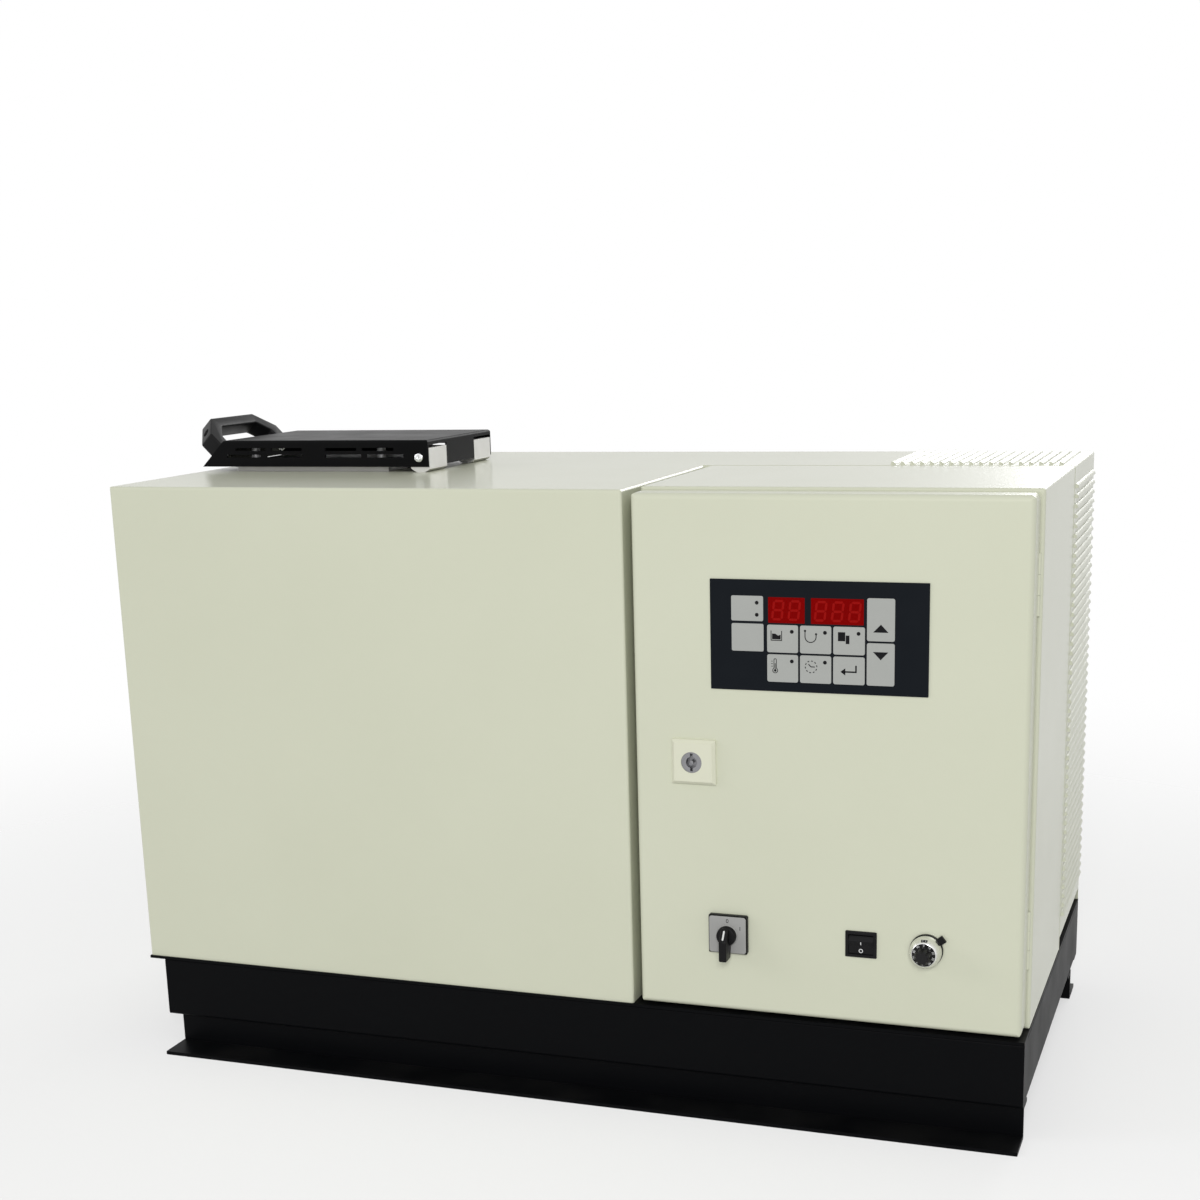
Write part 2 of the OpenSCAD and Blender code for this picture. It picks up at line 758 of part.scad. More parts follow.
module pump_bolts() for (y = [-pump_bolt_y, pump_bolt_y], z = [driven_z - pump_bolt_z, drive_z + pump_bolt_z])
    translate([cover_x + cover_t, pump_y + y, z]) rod_x(pump_bolt_r, pump_bolt_h);

module pump_body() color(steel) difference() {
    translate([pump_x, 0, 0]) along_x(pump_wall + gear_b) pump_outline();
    journals(pump_x + bearing_end, pump_wall + gear_b, shaft_r + run_gap);
    journals(chamber_x, gear_b + over, gear_ro + gear_slack);
}

module pump_cover() color(steel) difference() {
    union() {
        translate([cover_x, 0, 0]) along_x(cover_t) pump_outline();
        pump_bolts();
    }
    translate([cover_x - over, pump_y, drive_z]) rod_x(shaft_r + run_gap, cover_t + 2 * over);
    translate([cover_x - over, pump_y, driven_z])
        rod_x(shaft_r + run_gap, cover_t - bearing_end - shaft_end + over);
}

// Involute flank: the point at roll angle a on a base circle of radius rb, turned by t
function involute(rb, a, t) = let (q = a * 180 / PI)
    [rb * (cos(q + t) + a * sin(q + t)), rb * (sin(q + t) - a * cos(q + t))];

gear_rp = gear_cd / 2;
gear_angle = 20;
gear_rb = gear_rp * cos(gear_angle);
gear_rr = gear_rp - 1.2 * gear_m;
tip_slack = 0.05;
gear_tip = gear_ro - tip_slack;
flank_steps = 4;
gear_backlash = 1.2;
pitch_roll = sqrt(pow(gear_rp / gear_rb, 2) - 1);
tip_roll = sqrt(pow(gear_tip / gear_rb, 2) - 1);
half_tooth = 90 / gear_z - gear_backlash / 2 + pitch_roll * 180 / PI - gear_angle;

module gear() linear_extrude(gear_b - 2 * run_gap) {
    circle(gear_rr);
    for (k = [0 : gear_z - 1]) rotate(k * 360 / gear_z) {
        right = [for (i = [0 : flank_steps]) involute(gear_rb, tip_roll * i / flank_steps, -half_tooth)];
        left = [for (i = [flank_steps : -1 : 0]) [right[i].x, -right[i].y]];
        root = (gear_rr - gear_m / 4) * [cos(half_tooth), sin(half_tooth)];
        polygon(concat([[root.x, -root.y]], right, left, [root]));
    }
}

module meshed_gear(z, turn) translate([chamber_x + run_gap, pump_y, z]) rotate([0, 90, 0]) rotate(turn)
    gear();

module pump_drive_gear() color(steel) {
    meshed_gear(drive_z, 0);
    translate([pump_x + bearing_end + shaft_end, pump_y, drive_z])
        rod_x(shaft_r, coupling_x - pump_x + shaft_in);
}

module pump_driven_gear() color(steel) {
    meshed_gear(driven_z, 180 / gear_z * (1 + gear_z % 2));
    translate([pump_x + bearing_end + shaft_end, pump_y, driven_z])
        rod_x(shaft_r, cover_x + cover_t - pump_x - 2 * (bearing_end + shaft_end) - shaft_end);
}

spider_step = 3;
hub_l = coupling_l * 0.4;

// Two hubs with a spider between them, and the gearbox's output shaft
module shaft_coupling() color(alu) difference() {
    translate([coupling_x, pump_y, drive_z]) {
        rod_x(coupling_r, hub_l);
        translate([hub_l, 0, 0]) rod_x(coupling_r - spider_step, coupling_l - 2 * hub_l);
        translate([coupling_l - hub_l, 0, 0]) rod_x(coupling_r, hub_l);
        rod_x(output_r, coupling_l + coupling_end + output_l);
    }
    translate([coupling_x - over, pump_y, drive_z]) rod_x(shaft_r + run_gap, hub_l + over);
}

gearbox_round = 12;
gearbox_cap_r = 30;
gearbox_cap_h = 6;
output_end = 2;

module gearbox() color(grey) difference() {
    union() {
        translate([gearbox_x, pump_y - gearbox_s / 2, gearbox_z]) along_x(gearbox_l)
            round_rect(gearbox_s, gearbox_s, gearbox_round);
        translate([gearbox_x + gearbox_l / 2, pump_y, gearbox_z + gearbox_s - over])
            cylinder(r = gearbox_cap_r, h = gearbox_cap_h + over);
    }
    translate([gearbox_x - over, pump_y, drive_z]) rod_x(output_r + run_gap, output_l + output_end + over);
}

fin_t = 3;
fin_pitch = 9;
fin_h = 8;
fan_l = 45;
motor_box = [90, 80, 46];
motor_box_x = 25;

module motor() color(grey) translate([motor_x, pump_y, drive_z]) {
    rod_x(motor_r - fin_h, motor_l - fan_l);
    for (x = [0 : fin_pitch : motor_l - fan_l - fin_pitch]) translate([x, 0, 0]) rod_x(motor_r, fin_t);
    translate([motor_l - fan_l, 0, 0]) rod_x(motor_r, fan_l);
    translate([motor_box_x, -motor_box.y / 2, motor_r - fin_h - fin_pitch + fin_t]) cube(motor_box);
}

module motor_bracket() color(black) translate([gearbox_x, pump_y - gearbox_s / 2, base_h]) along_x(gearbox_l)
    difference() {
        square([gearbox_s, gearbox_z - base_h]);
        translate([plate_t * 2, -over])
            square([gearbox_s - 4 * plate_t, gearbox_z - base_h - 2 * plate_t + over]);
    }

// Rear connection panel with hose nipples and hose sockets

panel_r = 5;
nipple_hole_r = 15;
socket_slack = 0.2;
socket_bolt_r = 2;
socket_head_r = 3.5;
socket_head_h = 4;
socket_hex_r = 1.7;
socket_bolt_end = 4;

module socket_screw_holes(y, len, r) for (x = socket_x, sx = [-1, 1], sz = [-1, 1])
    translate([x + sx * socket_sx / 2, y, station_z + sz * socket_sz / 2]) rod_y(r, len);

module connection_panel() color(cream) difference() {
    translate([panel_x0, unit_d, panel_z]) along_y(sheet) round_rect(panel_w, panel_h, panel_r);
    for (x = station_x) translate([x, unit_d - over, station_z]) rod_y(nipple_hole_r, sheet + 2 * over);
    for (x = socket_x) translate([x, unit_d - over, station_z])
        translate([-collar_w / 2 - socket_slack, 0, -collar_h / 2 - socket_slack])
            cube([collar_w + 2 * socket_slack, sheet + 2 * over, collar_h + 2 * socket_slack]);
    socket_screw_holes(unit_d - over, sheet + 2 * over, socket_bolt_r + socket_slack);
}

nipple_y1 = unit_d + rear_out;
hex_l = 10;
hex_in_r = 12.7;
hex_out_r = 11;
nipple_tube_r = 8.5;
nipple_bore_r = 4;
nipple_bore_l = 40;

module hose_nipples() color(steel) for (x = station_x) translate([x, 0, station_z]) difference() {
    union() {
        translate([0, manifold_y1 - nipple_in, 0]) rod_y(nipple_r - run_gap, nipple_in);
        translate([0, manifold_y1, 0]) rotate([-90, 0, 0]) cylinder(r = hex_in_r, h = hex_l, $fn = 6);
        translate([0, manifold_y1, 0]) rod_y(nipple_tube_r, nipple_y1 - nipple_l - manifold_y1);
        translate([0, nipple_y1 - nipple_l - hex_l, 0]) rotate([-90, 0, 0])
            cylinder(r = hex_out_r, h = hex_l, $fn = 6);
        translate([0, nipple_y1 - nipple_l, 0]) rod_y(nipple_r, nipple_l);
    }
    translate([0, nipple_y1 - nipple_bore_l, 0]) rod_y(nipple_bore_r, nipple_bore_l + over);
}

module box_ring(w, h, r, len, wall) along_y(len) difference() {
    translate([-w / 2, -h / 2]) round_rect(w, h, r);
    translate([wall - w / 2, wall - h / 2]) round_rect(w - 2 * wall, h - 2 * wall, r - wall + 1);
}

contact_slack = 0.05;
contact_back = 10;
contact_in = 0.4;
contact_bore = 8;
insert_out = 8;
insert_r = 1;
socket_r = 4;
groove_x = 9.7;
groove_w = 1.25;
groove_deep = 3;
top_notch = [5.3, 2.5];
side_notch = [2.4, 3];
side_notch_z = -4.5;
tab = [12.8, 3.4];
tab_t = 1;
insert_y1 = panel_y + flange_t + insert_out;

module contact_places() for (x = socket_x, c = contact_cols, row = [-1, 0, 1])
    translate([x + c, 0, station_z + row * contact_pitch]) children();

counterbore = 2;
counterbore_gap = 0.35;

// Two grooves down the insert's face, and notches at its top and sides that key the plug
module insert_keying() {
    for (x = [-groove_x, groove_x]) translate([x - groove_w / 2, insert_y1 - groove_deep, -insert_h])
        cube([groove_w, groove_deep + over, 2 * insert_h]);
    translate([-top_notch.x / 2, panel_y + flange_t, insert_h / 2 - top_notch.y])
        cube([top_notch.x, insert_out + over, top_notch.y + over]);
    for (x = [-insert_w / 2 - over, insert_w / 2 - side_notch.x])
        translate([x, panel_y + flange_t, side_notch_z - side_notch.y / 2])
            cube([side_notch.x + over, insert_out + over, side_notch.y]);
}

module socket_housings() color(grey) difference() {
    for (x = socket_x) translate([x, 0, station_z]) {
        translate([-socket_w / 2, panel_y, -socket_h / 2]) along_y(flange_t)
            round_rect(socket_w, socket_h, socket_r);
        translate([-collar_w / 2, unit_d - socket_back, -collar_h / 2]) along_y(socket_back + sheet + over)
            round_rect(collar_w, collar_h, socket_r);
        translate([0, panel_y, 0]) box_ring(collar_w, collar_h, socket_r, flange_t + collar_out, collar_t);
        translate([-insert_w / 2, panel_y, -insert_h / 2]) along_y(flange_t + insert_out)
            round_rect(insert_w, insert_h, insert_r);
        for (z = [collar_h / 2 - eps, -collar_h / 2 - tab.y + eps])
            translate([-tab.x / 2, panel_y + flange_t - eps, z]) cube([tab.x, tab_t + eps, tab.y]);
    }
    contact_places() translate([0, unit_d - contact_back, 0])
        rod_y(contact_r + contact_slack, insert_y1 - unit_d + contact_back + over);
    contact_places() translate([0, insert_y1 - counterbore, 0])
        rod_y(contact_r + counterbore_gap, counterbore + over);
    for (x = socket_x) translate([x, 0, station_z]) insert_keying();
    socket_screw_holes(panel_y - over, flange_t + 2 * over, socket_bolt_r + socket_slack);
}

module socket_contacts() color(brass) contact_places() translate([0, unit_d - contact_back, 0]) difference() {
    rod_y(contact_r, insert_y1 - unit_d + contact_back - contact_in);
    translate([0, contact_bore, 0]) rod_y(contact_r * 0.6, insert_y1 - unit_d + contact_back);
}

module socket_screws() color(steel) difference() {
    union() {
        socket_screw_holes(unit_d - socket_bolt_end, sheet + flange_t + socket_bolt_end, socket_bolt_r);
        socket_screw_holes(panel_y + flange_t, socket_head_h, socket_head_r);
    }
    for (x = socket_x, sx = [-1, 1], sz = [-1, 1]) translate([x + sx * socket_sx / 2,
        panel_y + flange_t + socket_head_h / 2, station_z + sz * socket_sz / 2])
            rotate([-90, 0, 0]) cylinder(r = socket_hex_r, h = socket_head_h, $fn = 6);
}

// Control cabinet

module cabinet_body() color(cream) difference() {
    bent_box([cab_x, cab_y0, base_h], [unit_w, cab_y1, unit_h], bend_r);
    span([cab_x + sheet, cab_y0 + sheet, base_h + sheet], [unit_w - sheet, cab_y1 - sheet, unit_h - sheet]);
    span([cab_x + rim_w, cab_y0 - over, base_h + rim_w],
        [unit_w - rim_w, cab_y0 + 2 * sheet, unit_h - rim_w]);
}

window_edge = 7;
sleeve_t = 3.2;
cam_neck_r = 11;
pot_neck_r = 4.8;
rocker_edge = 2;
fit_slack = 0.2;

// Holes in the door, each a fit_slack wider than what goes through it
module door_openings() {
    rocker_in = [rocker_w / 2 - rocker_edge + fit_slack, rocker_h / 2 - rocker_edge];
    translate([lock_mid_x, -over, lock_z]) rod_y(lock_r + sleeve_t + fit_slack, 2 * sheet + over);
    translate([cam_mid_x, -over, switch_z]) rod_y(cam_neck_r + fit_slack, 2 * sheet + over);
    translate([dial_mid_x, -over, switch_z]) rod_y(pot_neck_r + fit_slack, 2 * sheet + over);
    span([rocker_mid_x - rocker_in.x, -over, switch_z - rocker_in.y],
        [rocker_mid_x + rocker_in.x, 2 * sheet, switch_z + rocker_in.y]);
    span([key_x0 + window_edge, -over, keypad_z + window_edge],
        [key_x0 + keypad_w - window_edge, 2 * sheet, keypad_z + keypad_h - window_edge]);
}

// Half of a butt hinge in the gap behind the door: a leaf with the given knuckles, its pin along z
module hinge_leaf(y, knuckles, bore) difference() {
    union() {
        span([hinge_x - leaf_w, y, -hinge_h / 2], [hinge_x, y + leaf_t, hinge_h / 2]);
        for (k = knuckles) translate([hinge_x, hinge_y, (k - 0.5) * knuckle_l + seat_gap / 2])
            cylinder(r = knuckle_r, h = knuckle_l - seat_gap);
    }
    for (k = [-1 : 1]) if (len(search(k, knuckles)) == 0)
        span([hinge_x - knuckle_r - over, cab_y0 - door_gap - over, (k - 0.5) * knuckle_l],
            [hinge_x + over, cab_y0 + over, (k + 0.5) * knuckle_l]);
    translate([hinge_x, hinge_y, -hinge_h]) cylinder(r = bore, h = 2 * hinge_h);
}

module cabinet_door() color(cream) {
    difference() {
        bent_box([door_x0, 0, door_z0], [door_x1, door_d + door_r, door_z1], door_r);
        span([0, door_d, 0], [unit_w, unit_d, unit_h]);
        span([door_x0 + sheet, sheet, door_z0 + sheet], [door_x1 - sheet, door_d - sheet, door_z1 - sheet]);
        span([door_x0 + lip_w, door_d - 2 * sheet, door_z0 + lip_w],
            [door_x1 - lip_w, unit_d, door_z1 - lip_w]);
        door_openings();
    }
    for (z = hinge_z) translate([0, 0, z]) hinge_leaf(door_d, [0], hinge_pin_r + run_gap);
}

module gasket_outline(inset) translate([door_x0 + inset, door_z0 + inset])
    square([gasket_x1 - door_x0 - 2 * inset + gasket_in, door_z1 - door_z0 - 2 * inset]);

module door_gasket() color(black) translate([0, door_d, 0]) along_y(door_gap - seat_gap) difference() {
    gasket_outline(gasket_in);
    gasket_outline(gasket_in + gasket_w);
}

module door_hinges() color(steel) for (z = hinge_z) translate([0, 0, z]) {
    hinge_leaf(cab_y0 - leaf_t, [-1, 1], hinge_pin_r);
    translate([hinge_x, hinge_y, -hinge_h / 2]) cylinder(r = hinge_pin_r, h = hinge_h);
}

// Electrical equipment on a plate inside the cabinet

stud_l = 12;
stud_r = 6;
stud_set = 15;
plate_y = cab_y1 - sheet - stud_l;
plate_front = plate_y - sheet;
plate_edge = 32;

module mounting_plate() color(steel) {
    x0 = cab_x + plate_edge;
    x1 = unit_w - plate_edge;
    z0 = base_h + plate_edge;
    z1 = unit_h - plate_edge;
    span([x0, plate_front, z0], [x1, plate_y, z1]);
    for (x = [x0 + stud_set, x1 - stud_set], z = [z0 + stud_set, z1 - stud_set])
        translate([x, plate_y - eps, z]) rod_y(stud_r, stud_l + eps);
}

// Hat-section rail of the usual 35 by 7.5
hat_w = 35;
hat_h = 7.5;
hat_t = 1;
hat_brim = 5;
rail_drop = 170;
rail_set = 70;
rail_len = 260;
rail_z = unit_h - rail_drop;

module din_rail() color(steel) translate([cab_x + rail_set, plate_front - hat_h, rail_z - hat_w / 2])
    along_x(rail_len) {
        translate([hat_h - hat_t, hat_brim - hat_t / 2]) square([hat_t, hat_w - 2 * hat_brim + hat_t]);
        for (z = [hat_brim, hat_w - hat_brim]) translate([0, z - hat_t / 2]) square([hat_h, hat_t]);
        for (z = [0, hat_w - hat_brim]) translate([0, z]) square([hat_t, hat_brim]);
    }

block_w = 8;
block_gap = 0.4;
block_count = 24;
block_set = 20;
block_out = 42;
block_half = 22;
block_step = 12;
block_screw_r = 2.5;

module block_shape() polygon([[0, -block_half], [0, block_half],
    [block_step - block_out, block_half - block_step / 3], [-block_out, block_half - block_step],
    [-block_out, block_step - block_half],
    [block_step - block_out, block_step / 3 - block_half]]);

module terminal_blocks() color(grey) translate([cab_x + rail_set + block_set, plate_front - hat_h, rail_z])
    for (i = [0 : block_count - 1]) translate([i * (block_w + block_gap), 0, 0]) difference() {
        along_x(block_w) block_shape();
        translate([block_w / 2, -block_out - over, 0]) rod_y(block_screw_r, block_step);
    }

drive = [110, 110, 190];
drive_set = 60;
drive_fin = [4, 76, 10];
drive_fin_pitch = 9;
drive_fin_y = 30;

module motor_drive() color(grey) translate([cab_x + drive_set, plate_front - drive.y, base_h + drive_set]) {
    cube(drive);
    for (x = [drive_fin.x : drive_fin_pitch : drive.x - 2 * drive_fin.x])
        translate([x, drive_fin_y, drive.z - eps]) cube(drive_fin);
}

// Lock on the door

lock_left = 21.4;
lock_plate_t = 6;
lock_bevel = 3.2;
sleeve_l = 20;

// Side of the lock's plate: its front edges bevelled, drawn with its back at y = 0
module bevelled_side() polygon([[0, 0], [lock_plate_s, 0], [lock_plate_s, lock_bevel - lock_plate_t],
    [lock_plate_s - lock_bevel, -lock_plate_t], [lock_bevel, -lock_plate_t], [0, lock_bevel - lock_plate_t]]);

module lock_plate() color(cream) difference() {
    union() {
        translate([lock_mid_x - lock_left, 0, lock_z - lock_plate_s / 2]) intersection() {
            linear_extrude(lock_plate_s) bevelled_side();
            translate([lock_plate_s, 0, 0]) rotate([0, -90, 0]) linear_extrude(lock_plate_s) bevelled_side();
        }
        translate([lock_mid_x, -over, lock_z]) rod_y(lock_r + sleeve_t, sleeve_l);
    }
    translate([lock_mid_x, -sleeve_l, lock_z]) rod_y(lock_r + run_gap, 3 * sleeve_l);
}

tongue_gap = 1;
tongue_y = cab_y0 + sheet + tongue_gap;
tongue_w = 14;
tongue_up = 10;
tongue_down = 48;
tongue_r = 3;
tongue_nut_r = 6;
tongue_nut_t = 4;
barrel_out = lock_plate_t - 0.8;
bit_w = 3;
bit_r = 9.2;
bit_deep = 7;
bit_core_r = 5.8;
bit_pin_r = 1.7;
bit_pin_in = 0.8;

// Socket for a double-bit key: a round pocket with two slots and a pin in its middle
module key_socket() difference() {
    union() {
        translate([0, -over, 0]) rod_y(bit_core_r, bit_deep + over);
        translate([-bit_w / 2, -over, -bit_r]) cube([bit_w, bit_deep + over, 2 * bit_r]);
    }
    translate([0, bit_pin_in, 0]) rod_y(bit_pin_r, bit_deep);
}

module lock_barrel() color(steel) translate([lock_mid_x, -barrel_out, lock_z]) difference() {
    rod_y(lock_r, tongue_y + barrel_out);
    key_socket();
}

module lock_cam() color(steel) translate([lock_mid_x, tongue_y, lock_z]) {
    translate([-tongue_w / 2, 0, -tongue_down]) along_y(tongue_t)
        round_rect(tongue_w, tongue_up + tongue_down, tongue_r);
    translate([0, tongue_t, 0]) rotate([-90, 0, 0]) cylinder(r = tongue_nut_r, h = tongue_nut_t, $fn = 6);
}

// Keypad: an overlay with eight keys that press on a controller behind the door

key_w = 31;
key_h = 27.3;
key_gap = 2;
key_low = 9.5;
key_left = 58;
arrow_w = 27;
arrow_h = 41.5;
key_r = 2;
keypad_r = 0.8;
controller_lap = 2;
controller_d = 44;
press_room = 0.1;

// Lower left corner of a key, by column and row
function key_at(col, row) = [key_left + col * (key_w + key_gap), key_low + row * (key_h + key_gap)];
arrow_x = key_left + 3 * (key_w + key_gap);
function arrow_at(row) = [arrow_x, key_low + row * (arrow_h + key_gap)];

module key_cap(at, w, h) color(grey) translate([key_x0 + at.x, -overlay_t - key_rise, keypad_z + at.y])
    along_y(overlay_t + key_rise - key_slack) round_rect(w, h, key_r);

module key_hole(at, w, h) translate([key_x0 + at.x, -overlay_t - over, keypad_z + at.y])
    translate([-key_slack, 0, -key_slack]) along_y(overlay_t + 2 * over)
        round_rect(w + 2 * key_slack, h + 2 * key_slack, key_r + key_slack);

module keypad_overlay() color(black) difference() {
    translate([key_x0, -overlay_t, keypad_z]) along_y(overlay_t) round_rect(keypad_w, keypad_h, keypad_r);
    for (col = [0 : 2], row = [0, 1]) key_hole(key_at(col, row), key_w, key_h);
    for (row = [0, 1]) key_hole(arrow_at(row), arrow_w, arrow_h);
}

module key_tank() key_cap(key_at(0, 1), key_w, key_h);
module key_hose() key_cap(key_at(1, 1), key_w, key_h);
module key_gun() key_cap(key_at(2, 1), key_w, key_h);
module key_economy() key_cap(key_at(0, 0), key_w, key_h);
module key_clock() key_cap(key_at(1, 0), key_w, key_h);
module key_enter() key_cap(key_at(2, 0), key_w, key_h);
module key_up() key_cap(arrow_at(1), arrow_w, arrow_h);
module key_down() key_cap(arrow_at(0), arrow_w, arrow_h);

module controller_box() color(grey) {
    edge = window_edge + seat_gap;
    span([key_x0 + edge, key_travel + press_room, keypad_z + edge],
        [key_x0 + keypad_w - edge, 2 * sheet, keypad_z + keypad_h - edge]);
    span([key_x0 - controller_lap, sheet, keypad_z - controller_lap],
        [key_x0 + keypad_w + controller_lap, sheet + controller_d, keypad_z + keypad_h + controller_lap]);
}

// Frame of a switch in front of the door, centred on y, its front edges rounded
module front_plate(w, h, t, r) intersection() {
    bent_box([-w / 2, -t, -h / 2], [w / 2, t, h / 2], r);
    span([-w, -t, -h], [w, 0, h]);
}

// Mains switch with a bar handle

cam_frame_t = 6;
cam_frame_r = 2;
cam_body = [44, 50, 44];
spindle_r = 3;
spindle_l = 20;
cam_collar_r = 11.25;
cam_collar_h = 8;
lever_w = 8;
lever_h = 20;
lever_down = 23.5;
lever_up = 11.5;
lever_knee = -2;
lever_tip = 11;
lever_heel = 3;

module cam_switch() color(black) translate([cam_mid_x, 0, switch_z]) difference() {
    union() {
        front_plate(cam_s, cam_s, cam_frame_t, cam_frame_r);
        rod_y(cam_neck_r, sheet + over);
        translate([-cam_body.x / 2, sheet, -cam_body.z / 2]) cube(cam_body);
    }
    translate([0, -spindle_l, 0]) rod_y(spindle_r + run_gap, 2 * spindle_l);
}

module cam_knob() color(black) translate([cam_mid_x, -cam_frame_t - seat_gap, switch_z]) {
    rod_y(spindle_r, spindle_l);
    translate([0, -cam_collar_h, 0]) rod_y(cam_collar_r, cam_collar_h);
    translate([-lever_w / 2, 0, 0]) along_x(lever_w) polygon([[0, lever_up], [0, -cam_collar_r],
        [-lever_heel, -lever_down], [-lever_h, -lever_down], [-lever_h, lever_knee], [-lever_tip, lever_up]]);
}

// Rocker switch

rocker_pivot_y = 6;
rocker_cave = 20.8;
rocker_lip = 2;
rocker_deep = 28;
rocker_r = 1.2;
cave_deep = 20;
paddle_h = 18.4;
paddle_edge = 3.5;
paddle_w = rocker_w - 2 * paddle_edge;
paddle_out = 8;
paddle_dish = 0.8;
paddle_bevel = [3.6, 4.6];
axle_r = 1.5;
axle_end = 0.8;
axle_slack = 0.1;

module rocker_bezel() color(black) translate([rocker_mid_x, 0, switch_z]) difference() {
    union() {
        front_plate(rocker_w, rocker_h, rocker_lip, rocker_r);
        translate([rocker_edge - rocker_w / 2, -eps, rocker_edge + 0.5 - rocker_h / 2])
            cube([rocker_w - 2 * rocker_edge, rocker_deep, rocker_h - 2 * rocker_edge - 1]);
    }
    translate([-paddle_w / 2 - seat_gap, -rocker_lip - over, -rocker_cave / 2])
        cube([paddle_w + 2 * seat_gap, cave_deep, rocker_cave]);
    translate([-paddle_w / 2 - axle_end - axle_slack, rocker_pivot_y, 0])
        rod_x(axle_r + run_gap, paddle_w + 2 * (axle_end + axle_slack));
}

module rocker_paddle() color(black) translate([rocker_mid_x, rocker_pivot_y, switch_z])
    rotate([rocker_throw / 2, 0, 0]) {
        half = paddle_h / 2;
        translate([-paddle_w / 2, 0, 0]) along_x(paddle_w)
            polygon([[paddle_dish - paddle_out, 0], [-paddle_out, half - paddle_bevel.y],
                [paddle_bevel.x - paddle_out, half], [paddle_out / 4, half * 0.7], [paddle_out / 2, 0],
                [paddle_out / 4, -half * 0.7], [-paddle_out, -half]]);
        translate([-paddle_w / 2 - axle_end, 0, 0]) rod_x(axle_r, paddle_w + 2 * axle_end);
    }

// Ten-turn dial with a brake ring

brake_t = 3;
brake_rim = 0.6;
brake_tab = [9, 7.5];
brake_tab_in = 3;
brake_rest = 38;
dial_deep = 17;
dial_floor = 6.5;
dial_step = 7;
dial_bore_r = pot_neck_r + 0.4;
dial_hub_r = 8;
dial_wall = 4;
ring_bevel = 1.2;
ring_bevel_z = 12;
skirt_r = dial_r - dial_wall - 0.8;

module dial_ring() color(steel) translate([dial_mid_x, 0, switch_z]) rotate([90, 0, 0]) rotate_extrude()
    polygon([[dial_bore_r, 0], [dial_hub_r, 0], [dial_hub_r, brake_t + seat_gap], [dial_r, brake_t + seat_gap],
        [dial_r, dial_step], [dial_r - ring_bevel, ring_bevel_z], [dial_r - dial_wall, dial_deep],
        [skirt_r + seat_gap, dial_deep], [skirt_r + seat_gap, dial_floor], [dial_bore_r, dial_floor]]);

module dial_brake() color(black) translate([dial_mid_x, 0, switch_z]) rotate([90, 0, 0]) difference() {
    union() {
        cylinder(r = dial_r + brake_rim, h = brake_t);
        rotate(brake_rest) translate([dial_r - brake_tab_in, -brake_tab.y / 2, 0])
            cube([brake_tab.x, brake_tab.y, brake_t]);
    }
    translate([0, 0, -over]) cylinder(r = dial_hub_r + run_gap, h = brake_t + 2 * over);
}

flutes = 10;
flute_r = 2.2;
flute_out = 1.2;
knob_h = 12;
knob_sunk = 1;
dial_spindle = [-20, 10];

module dial_knob() color(black) translate([dial_mid_x, 0, switch_z]) rotate([90, 0, 0]) {
    translate([0, 0, dial_floor + seat_gap]) cylinder(r = skirt_r, h = dial_deep - dial_step);
    difference() {
        translate([0, 0, dial_deep - knob_sunk]) cylinder(r = knob_r, h = knob_h);
        for (i = [0 : flutes - 1]) rotate(i * 360 / flutes)
            translate([knob_r + flute_out, 0, dial_deep + knob_sunk]) cylinder(r = flute_r, h = knob_h);
    }
    translate([0, 0, dial_spindle[0]]) cylinder(r = spindle_r, h = dial_spindle[1] - dial_spindle[0]);
}

pot_r = 11;
pot_l = 26;
pot_neck = 6;

module potentiometer() color(grey) translate([dial_mid_x, sheet, switch_z]) difference() {
    union() {
        rod_y(pot_r, pot_l);
        translate([0, -sheet - pot_neck, 0]) rod_y(pot_neck_r, sheet + pot_neck);
    }
    translate([0, -spindle_l, 0]) rod_y(spindle_r + run_gap, 2 * spindle_l + sheet);
}

in_frame() base_plate();
in_frame() base_rails();
in_frame() runners();
in_frame() tank_hood();
in_frame() louvre_cover();
in_frame() filler_rim();
in_frame() lid_cover();
in_frame() lid_liner();
in_frame() lid_handle();
in_frame() handle_screws();
in_frame() hinge_blocks();
in_frame() lid_pivot_screws();
in_frame() tank();
in_frame() tank_heaters();
in_frame() tank_strainer();
in_frame() tank_legs();
in_frame() temperature_sensor();
in_frame() manifold();
in_frame() pump_body();
in_frame() pump_cover();
in_frame() pump_drive_gear();
in_frame() pump_driven_gear();
in_frame() shaft_coupling();
in_frame() gearbox();
in_frame() motor();
in_frame() motor_bracket();
in_frame() connection_panel();
in_frame() hose_nipples();
in_frame() socket_housings();
in_frame() socket_contacts();
in_frame() socket_screws();
in_frame() cabinet_body();
in_frame() cabinet_door();
in_frame() door_gasket();
in_frame() door_hinges();
in_frame() mounting_plate();
in_frame() din_rail();
in_frame() terminal_blocks();
in_frame() motor_drive();
in_frame() lock_plate();
in_frame() lock_barrel();
in_frame() lock_cam();
in_frame() keypad_overlay();
in_frame() controller_box();
in_frame() key_tank();
in_frame() key_hose();
in_frame() key_gun();
in_frame() key_economy();
in_frame() key_clock();
in_frame() key_enter();
in_frame() key_up();
in_frame() key_down();
in_frame() cam_switch();
in_frame() cam_knob();
in_frame() rocker_bezel();
in_frame() rocker_paddle();
in_frame() dial_ring();
in_frame() dial_knob();
in_frame() dial_brake();
in_frame() potentiometer();
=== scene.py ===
import bpy
import numpy as np
from mathutils import Matrix, Vector


